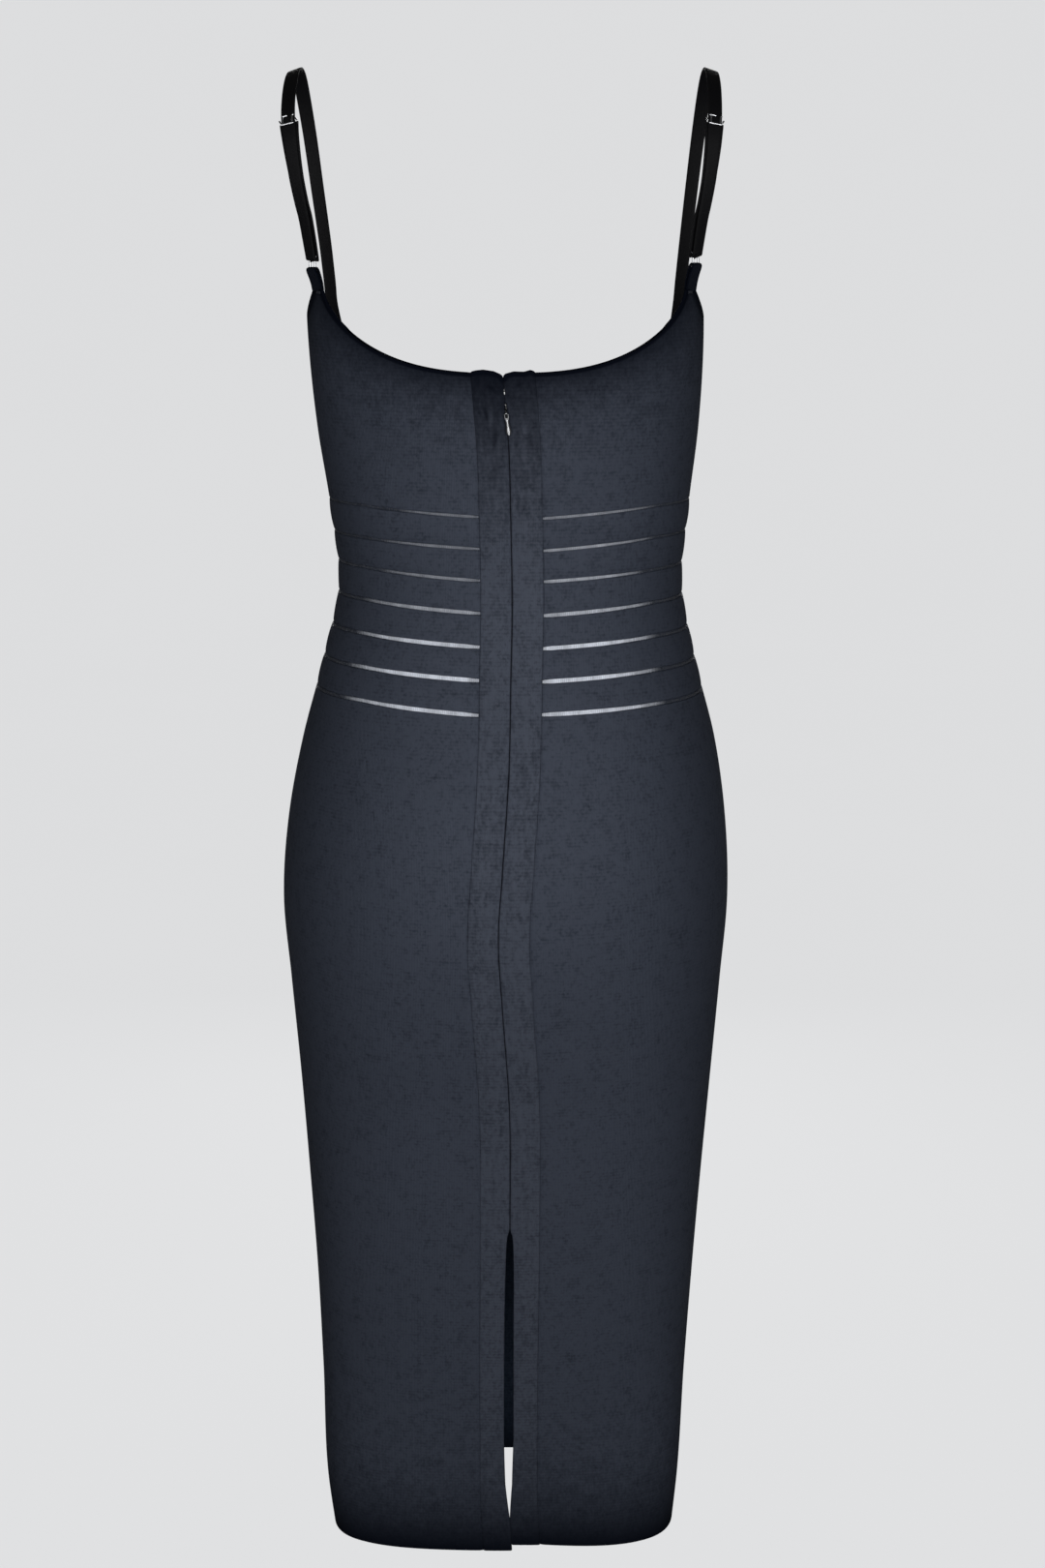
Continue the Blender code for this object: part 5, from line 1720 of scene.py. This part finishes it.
def strap_path(side):
    """Middles, faces and widths of the strap from inside the front to the adjuster."""
    frames = strap_frames(side)
    ring = ring_frame(side)
    foot_middles, foot_faces = front_foot(side)
    over_middles, over_faces = smooth_path(
        [spot.middle for spot in frames], [spot.out for spot in frames], SHOULDER_STEPS)
    turn_middles, turn_faces = bar_turn(ring, RING_SIZE[1] / 2, TURN_RADIUS, upwards=False)
    back = frames_along(over_middles, over_faces)
    return_middles, return_faces = [], []
    last, first = len(over_middles) - 1, SHOULDER_STEPS * ADJUSTER_ROW
    for i in range(last, first, -1):
        share = (i - first) / (last - first)
        space = blend(LAYER_SPACE, 2 * TURN_RADIUS, share**3)
        return_middles.append(back[i].middle - back[i].out * space)
        return_faces.append(-back[i].out)
    end = back[first]
    end_gap = ADJUSTER_WIRE + SEAM * 2
    return_middles.append(end.middle - end.out * LAYER_SPACE + end.along * end_gap)
    return_faces.append(-end.out)
    middles = foot_middles + over_middles + turn_middles + return_middles
    faces = foot_faces + over_faces + turn_faces + return_faces
    narrowing = last - first
    widths = [STRAP_WIDTH] * (len(foot_middles) + first + 1)
    widths += [blend(STRAP_WIDTH, STRAP_WIDTH_AT_RING, (i + 1) / narrowing)
               for i in range(narrowing)]
    widths += [STRAP_WIDTH_AT_RING] * len(turn_middles)
    count = len(return_middles)
    widths += [blend(STRAP_WIDTH_AT_RING, LOOP_WIDTH, (i + 1) / count) for i in range(count)]
    return middles, faces, widths


def ribbon(name, path, widths):
    """A strip of elastic or knit, flat with thin round edges, through a run of frames."""
    middle, across, out = (
        np.array([getattr(spot, way) for spot in path]) for way in ("middle", "across", "out"))
    share = np.linspace(-0.5, 0.5, RIBBON_COLUMNS + 1)
    roll = ELASTIC * 0.35
    span = share[None, :] * (np.array(widths)[:, None] - 2 * roll)
    thick = ELASTIC / 2 * (1 - 0.18 * np.abs(share * 2) ** 6)[None, :]
    centre = middle[:, None] + across[:, None] * span[..., None]
    outer = centre + out[:, None] * thick[..., None]
    inner = centre - out[:, None] * thick[..., None]
    length = np.broadcast_to(length_along(middle)[:, None], span.shape)
    # Nearness to its sides: painted shade at the sides of a knit tab, a matt edge on the elastic.
    edge = np.broadcast_to(np.abs(share * 2)[None, :] ** 8, span.shape)
    shades = {"edge": edge, "ladder": np.zeros(span.shape)}
    piece = cloth_shell(name, outer, inner, np.stack((span, length), axis=-1), shades, roll)
    return piece, outer


def finer(values, per_span):
    """Straight steps between the values of a list."""
    places = np.linspace(0, len(values) - 1, (len(values) - 1) * per_span + 1)
    return np.interp(places, np.arange(len(values)), values)


def make_strap(side, word):
    """Satin elastic from inside the front over the shoulder, round the ring and back."""
    middles, faces, widths = strap_path(side)
    middles, faces = smooth_path(middles, faces, STRIP_STEPS)
    piece, outer = ribbon(
        f"strap_{word}_elastic", frames_along(middles, faces), finer(widths, STRIP_STEPS))
    finish_piece(piece, elastic_finish(), [f"strap_{word}"])
    declare_sheet(outer)


def make_ring_tab(side, word):
    """Knit strip folded over the ring, its two ends sewn to the peak of the back."""
    ring = ring_frame(side)
    distance = tab_distance(side)
    peak_out = level_facing(BACK, distance, NECK_PEAK)
    base = body_vector(BACK, distance + side * TAB_SHIFT, NECK_PEAK) - peak_out * KNIT / 2
    base.z = NECK_PEAK - TAB_SEWN_IN
    ring_out = Vector((ring.out.x, ring.out.y, 0)).normalized()
    base_out = peak_out.lerp(ring_out, TAB_TWIST).normalized()
    turn_middles, turn_faces = bar_turn(ring, -RING_SIZE[1] / 2, TURN_RADIUS, upwards=True)
    legs = []
    for layer, top in ((1, turn_middles[0]), (-1, turn_middles[-1])):
        middles, faces = [], []
        for share in (0, 1 / 3, 2 / 3):
            foot = base + base_out * layer * (ELASTIC + SEAM) / 2
            middle = foot.lerp(top, share**1.5)
            middle.z = blend(foot.z, top.z, share)
            middles.append(middle)
            faces.append(base_out.lerp(ring.out, share) * layer)
        legs.append((middles, faces))
    middles = legs[0][0] + turn_middles + legs[1][0][::-1]
    faces = legs[0][1] + turn_faces + legs[1][1][::-1]
    path = frames_along(*smooth_path(middles, faces, STRIP_STEPS))
    level = base_out.cross(UP)
    path[0] = path[0]._replace(across=level, out=base_out)
    path[-1] = path[-1]._replace(across=level, out=-base_out)
    run = np.abs(np.linspace(-1, 1, len(path)))
    widths = blend(TAB_WIDTH_AT_RING, TAB_WIDTH_AT_FOOT, ease(run, 0.25, 1.0))
    piece, outer = ribbon(f"ring_tab_{word}_knit", path, widths)
    finish_piece(piece, tab_finish(), [f"ring_tab_{word}"])
    declare_sheet(outer)


def wire_loop(name, radius, size, corner):
    """A closed loop of wire with round corners that starts at the middle of its lower side."""
    wide, tall = size[0] / 2 - corner, size[1] - 2 * corner
    turn = (corner, 90, (0, 0, 1))
    moves = [wide, turn, tall, turn, 2 * wide, turn, tall, turn, wide]
    return bent_wire(name, radius, moves, closed=True)


def make_ring(side, word):
    """Wire ring between a tab and its strap."""
    piece = wire_loop(f"strap_ring_{word}_wire", RING_WIRE, RING_SIZE, RING_CORNER)
    place = frame_matrix(ring_frame(side)) @ Matrix.Translation((0, -RING_SIZE[1] / 2, 0))
    settle(piece, place)
    finish_piece(piece, metal_finish(), [f"strap_ring_{word}"])


def make_adjuster(side, word):
    """Wire frame in front of the strap, with a middle bar that passes behind it."""
    lift = ELASTIC / 2 + SEAM + ADJUSTER_WIRE
    width, height = ADJUSTER_SIZE
    loop = wire_loop(f"strap_adjuster_{word}_wire", ADJUSTER_WIRE, ADJUSTER_SIZE,
                     ADJUSTER_CORNER)
    shift(loop, (0, -height / 2, 0))
    drop = 2 * lift - MIDDLE_BAR_BEND
    corner = (MIDDLE_BAR_BEND, 90, (0, -1, 0))
    bar = bent_wire("middle_bar", MIDDLE_BAR_WIRE,
                    [drop, corner, width - 2 * MIDDLE_BAR_BEND, corner, drop],
                    heading=(0, 0, -1))
    shift(bar, (-width / 2, 0, 0))
    join(loop, bar)
    settle(loop, frame_matrix(strap_frames(side)[ADJUSTER_ROW], lift))
    finish_piece(loop, metal_finish(), [f"strap_adjuster_{word}"])


# ---------------------------------------------------------------- sewing


def row_of_stitches(points, facings):
    """Places of stitches end to end along a line of points."""
    places = []
    length = length_along(points)
    count = max(int(length[-1] / sizes().stitch_length), 1)
    for i in range(count):
        ends = []
        for share in STITCH_ENDS:
            at = (i + share) / count * length[-1]
            ends.append([float(np.interp(at, length, points[:, axis])) for axis in range(3)])
        facing = facings[min(int((i + 0.5) / count * len(facings)), len(facings) - 1)]
        places.append(thread_place(*ends, facing))
    return places


def zigzag(middle, across, along, out, width, height, rows):
    """Places of the close stitches of a bar tack."""
    places = []
    for i in range(rows):
        low = middle + along * height * (i / rows - 0.5)
        high = low + along * height / rows
        half = across * width / 2 * (1 if i % 2 else -1)
        places.append(thread_place(low - half, high + half, out))
    return places


def make_sewing():
    """Seams that hold the zip tapes, and the bar tacks of the tabs and strap ends."""
    places = []
    for side, _ in SIDES:
        z = np.arange(ZIP_TAPE_END + TAPE_SEAM_BASE, ZIP_TAPE_TOP - TAPE_SEAM_TOP, TAPE_SEAM_STEP)
        for reach in TAPE_SEAMS:
            distance = along_table(CENTRE_SEAM, z, "offset") + side * reach
            facing = body_facing(BACK, distance, z)
            line = body_surface(BACK, distance, z) - facing * (KNIT + SEAM + ZIP_TAPE)
            places += row_of_stitches(line, -facing)
        distance, z = tab_distance(side), NECK_PEAK - TAB_TACK_DROP
        out = level_facing(BACK, distance, z)
        middle = body_vector(BACK, distance, z)
        places += zigzag(middle, UP.cross(out), UP, out, *TAB_TACK)
        places += zigzag(middle - out * KNIT, UP.cross(out), UP, -out, *TAB_TACK)
        for middle, out in list(zip(*front_foot(side)))[:2]:
            at = middle + UP * FOOT_TACK_RISE - out * ELASTIC / 2
            places += zigzag(at, UP.cross(out), UP, -out, *FOOT_TACK)
        middles, faces, _ = strap_path(side)
        spot = frames_along(middles, faces)[-2]
        at = spot.middle + spot.out * ELASTIC / 2
        places += zigzag(at, spot.across, spot.along, spot.out, *END_TACK)
    piece = copies("sewing_thread", thread_pattern(THREAD_RADIUS, 6), places, {})
    finish_piece(piece, thread_finish())


# ---------------------------------------------------------------- operators


class PieceOperator(bpy.types.Operator):
    """Build pieces of the dress in a way that can be undone"""

    bl_options = {"REGISTER", "UNDO"}


class DRESS_OT_front(PieceOperator):
    """Knit the front panel, with its cups and sweetheart top"""

    bl_idname = "dress.front"
    bl_label = "Front panel"

    def execute(self, context):
        make_front_panel()
        return {"FINISHED"}


class DRESS_OT_backs(PieceOperator):
    """Knit the two back panels"""

    bl_idname = "dress.backs"
    bl_label = "Back panels"

    def execute(self, context):
        for side, word in SIDES:
            make_back_panel(side, word)
        return {"FINISHED"}


class DRESS_OT_bands(PieceOperator):
    """Knit the two centre-back zip bands"""

    bl_idname = "dress.bands"
    bl_label = "Zip bands"

    def execute(self, context):
        for side, word in SIDES:
            make_band(side, word)
        return {"FINISHED"}


class DRESS_OT_ladders(PieceOperator):
    """Lay the pale strands across the ladder rows of the waist"""

    bl_idname = "dress.ladders"
    bl_label = "Ladder strands"

    def execute(self, context):
        for side, word in SIDES:
            make_strands(f"ladder_strands_{word}", BACK, side)
            make_strands(f"ladder_strands_front_{word}", FRONT, side)
        return {"FINISHED"}


class DRESS_OT_zip(PieceOperator):
    """Make the zip's tapes and coil"""

    bl_idname = "dress.zip"
    bl_label = "Zip tapes and coil"

    def execute(self, context):
        for side, word in SIDES:
            make_tape(side, word)
            make_coil(side, word)
        return {"FINISHED"}


class DRESS_OT_slider(PieceOperator):
    """Make the zip's slider"""

    bl_idname = "dress.slider"
    bl_label = "Zip slider"

    def execute(self, context):
        make_slider()
        return {"FINISHED"}


class DRESS_OT_pull(PieceOperator):
    """Make the pull tab that swings on the slider"""

    bl_idname = "dress.pull"
    bl_label = "Pull tab"

    def execute(self, context):
        make_pull()
        return {"FINISHED"}


class DRESS_OT_hook(PieceOperator):
    """Bend the hook and the eye above the zip"""

    bl_idname = "dress.hook"
    bl_label = "Hook and eye"

    def execute(self, context):
        make_hook_and_eye()
        return {"FINISHED"}


class DRESS_OT_tabs(PieceOperator):
    """Fold the knit tabs that hold the strap rings"""

    bl_idname = "dress.tabs"
    bl_label = "Ring tabs"

    def execute(self, context):
        for side, word in SIDES:
            make_ring_tab(side, word)
        return {"FINISHED"}


class DRESS_OT_rings(PieceOperator):
    """Bend the strap rings and the strap adjusters"""

    bl_idname = "dress.rings"
    bl_label = "Rings and adjusters"

    def execute(self, context):
        for side, word in SIDES:
            make_ring(side, word)
            make_adjuster(side, word)
        return {"FINISHED"}


class DRESS_OT_straps(PieceOperator):
    """Lay the elastic straps from the front over the shoulders to the rings"""

    bl_idname = "dress.straps"
    bl_label = "Straps"

    def execute(self, context):
        for side, word in SIDES:
            make_strap(side, word)
        return {"FINISHED"}


class DRESS_OT_sewing(PieceOperator):
    """Sew the zip tapes, tabs and strap ends"""

    bl_idname = "dress.sewing"
    bl_label = "Stitching"

    def execute(self, context):
        make_sewing()
        return {"FINISHED"}


# ---------------------------------------------------------------- stage
BACKDROP_RADIUS = 7.0
BACKDROP_HEIGHT = 7.0
COVE_RADIUS = 1.6
CAMERA_PLACE = (0.0123, -1.70, -0.0816)
CAMERA_DROP = math.radians(13.7)  # how far the camera looks down
FOCAL_PIXELS, PICTURE_PIXELS, SENSOR = 2500, 1620, 36

SoftLight = namedtuple("SoftLight", "name place target size colour")
WHITE = (1.0, 1.0, 1.0)
SOFT_LIGHTS = (
    SoftLight("key", (0.5, -1.2, -0.35), (0, 0, -0.5), (0.6, 1.6), WHITE),
    SoftLight("side", (-0.5, -1.2, -0.35), (0, 0, -0.5), (0.6, 1.6), WHITE),
    SoftLight("front", (0, 1.9, -0.1), (0, 0, -0.5), (0.9, 1.5), WHITE),
    SoftLight("inside", (0, 0, -1.2), (0, 0.02, -0.5), (0.12, 0.05), (0.6, 0.78, 1.0)),
)


def backdrop_finish():
    """Pale paper that glows evenly, with a faint cloudy grain."""
    look = bpy.context.scene.stage_look
    finish = Finish("pale_backdrop")
    grain = finish.noise(2.0, 2.0, 0.5)
    colour = finish.mix(grain * 0.06, tuple(look.backdrop), shade_of(look.backdrop, 0.8))
    return finish.surface(
        base_color=shade_of(look.backdrop, 0.07), roughness=0.9, specular_ior_level=0.0,
        emission_color=colour, emission_strength=0.95)


def make_backdrop():
    """Round floor that curves up into a wall."""
    look = bpy.context.scene.stage_look
    deselect_all()
    bpy.ops.mesh.primitive_cylinder_add(
        vertices=96, radius=BACKDROP_RADIUS, depth=BACKDROP_HEIGHT,
        location=(0, 0, look.floor + BACKDROP_HEIGHT / 2))
    piece = bpy.context.object
    piece.name = "backdrop"
    bpy.ops.object.transform_apply(location=True, rotation=False, scale=False)
    bpy.ops.object.mode_set(mode="EDIT")
    select_parts(piece, "FACE", lambda face: face.normal.z > 0.9)
    bpy.ops.mesh.delete(type="FACE")
    foot = look.floor + 0.01
    select_parts(piece, "EDGE", lambda line: all(point.co.z < foot for point in line.verts))
    bpy.ops.mesh.bevel(offset=COVE_RADIUS, segments=12)
    bpy.ops.mesh.select_all(action="SELECT")
    bpy.ops.mesh.normals_make_consistent(inside=True)
    bpy.ops.object.mode_set(mode="OBJECT")
    bpy.ops.object.shade_smooth()
    piece.data.materials.append(backdrop_finish())
    piece.visible_diffuse = False
    piece.visible_glossy = False


def soft_light(light, power):
    """A softbox that the camera doesn't see."""
    deselect_all()
    bpy.ops.object.light_add(type="AREA", location=light.place)
    lamp = bpy.context.object
    lamp.name = light.name
    ahead = Vector(light.target) - Vector(light.place)
    lamp.rotation_euler = ahead.to_track_quat("-Z", "Y").to_euler()
    lamp.data.shape = "RECTANGLE"
    lamp.data.size, lamp.data.size_y = light.size
    lamp.data.energy = power
    lamp.data.color = light.colour
    lamp.visible_camera = False


def light_room(scene, strength):
    """Even white light from all round."""
    room = bpy.data.worlds.new("room")
    room.use_nodes = True
    light = room.node_tree.nodes["Background"]
    light.inputs["Color"].default_value = (*WHITE, 1.0)
    light.inputs["Strength"].default_value = strength
    scene.world = room
    scene.view_settings.view_transform = "Standard"


def place_camera(scene):
    deselect_all()
    bpy.ops.object.camera_add(
        location=CAMERA_PLACE, rotation=(math.pi / 2 - CAMERA_DROP, 0, 0))
    camera = bpy.context.object
    camera.name = "camera"
    camera.data.lens = FOCAL_PIXELS / PICTURE_PIXELS * SENSOR
    camera.data.sensor_width = SENSOR
    scene.camera = camera


class DRESS_OT_stage(PieceOperator):
    """Set up the floor, the soft lights and the camera"""

    bl_idname = "dress.stage"
    bl_label = "Stage"

    def execute(self, context):
        look = context.scene.stage_look
        make_backdrop()
        for light in SOFT_LIGHTS:
            soft_light(light, getattr(look, light.name))
        light_room(context.scene, look.ambient)
        place_camera(context.scene)
        return {"FINISHED"}


class DRESS_PT_panel(bpy.types.Panel):
    """Lists the pieces of the dress with their sizes and colours"""

    bl_idname = "DRESS_PT_panel"
    bl_label = "Bodycon dress"
    bl_space_type = "VIEW_3D"
    bl_region_type = "UI"
    bl_category = "Dress"

    def draw(self, context):
        layout = self.layout
        for name, kind in GROUPS:
            box = layout.box()
            for size in kind.__annotations__:
                box.prop(getattr(context.scene, name), size)
        for operator in OPERATORS:
            layout.operator(operator.bl_idname)


OPERATORS = (
    DRESS_OT_front, DRESS_OT_backs, DRESS_OT_bands, DRESS_OT_ladders, DRESS_OT_zip,
    DRESS_OT_slider, DRESS_OT_pull, DRESS_OT_hook, DRESS_OT_tabs, DRESS_OT_rings,
    DRESS_OT_straps, DRESS_OT_sewing, DRESS_OT_stage,
)
GROUPS = (
    ("dress_sizes", DressSizes), ("dress_colours", DressColours), ("stage_look", StageLook),
)


def register():
    for name, group in GROUPS:
        bpy.utils.register_class(group)
        setattr(bpy.types.Scene, name, PointerProperty(type=group))
    for kind in (*OPERATORS, DRESS_PT_panel):
        bpy.utils.register_class(kind)


def unregister():
    for kind in (DRESS_PT_panel, *reversed(OPERATORS)):
        bpy.utils.unregister_class(kind)
    for name, group in reversed(GROUPS):
        delattr(bpy.types.Scene, name)
        bpy.utils.unregister_class(group)


def main():
    register()
    for operator in OPERATORS:
        family, name = operator.bl_idname.split(".")
        getattr(getattr(bpy.ops, family), name)()


if __name__ == "__main__":
    main()
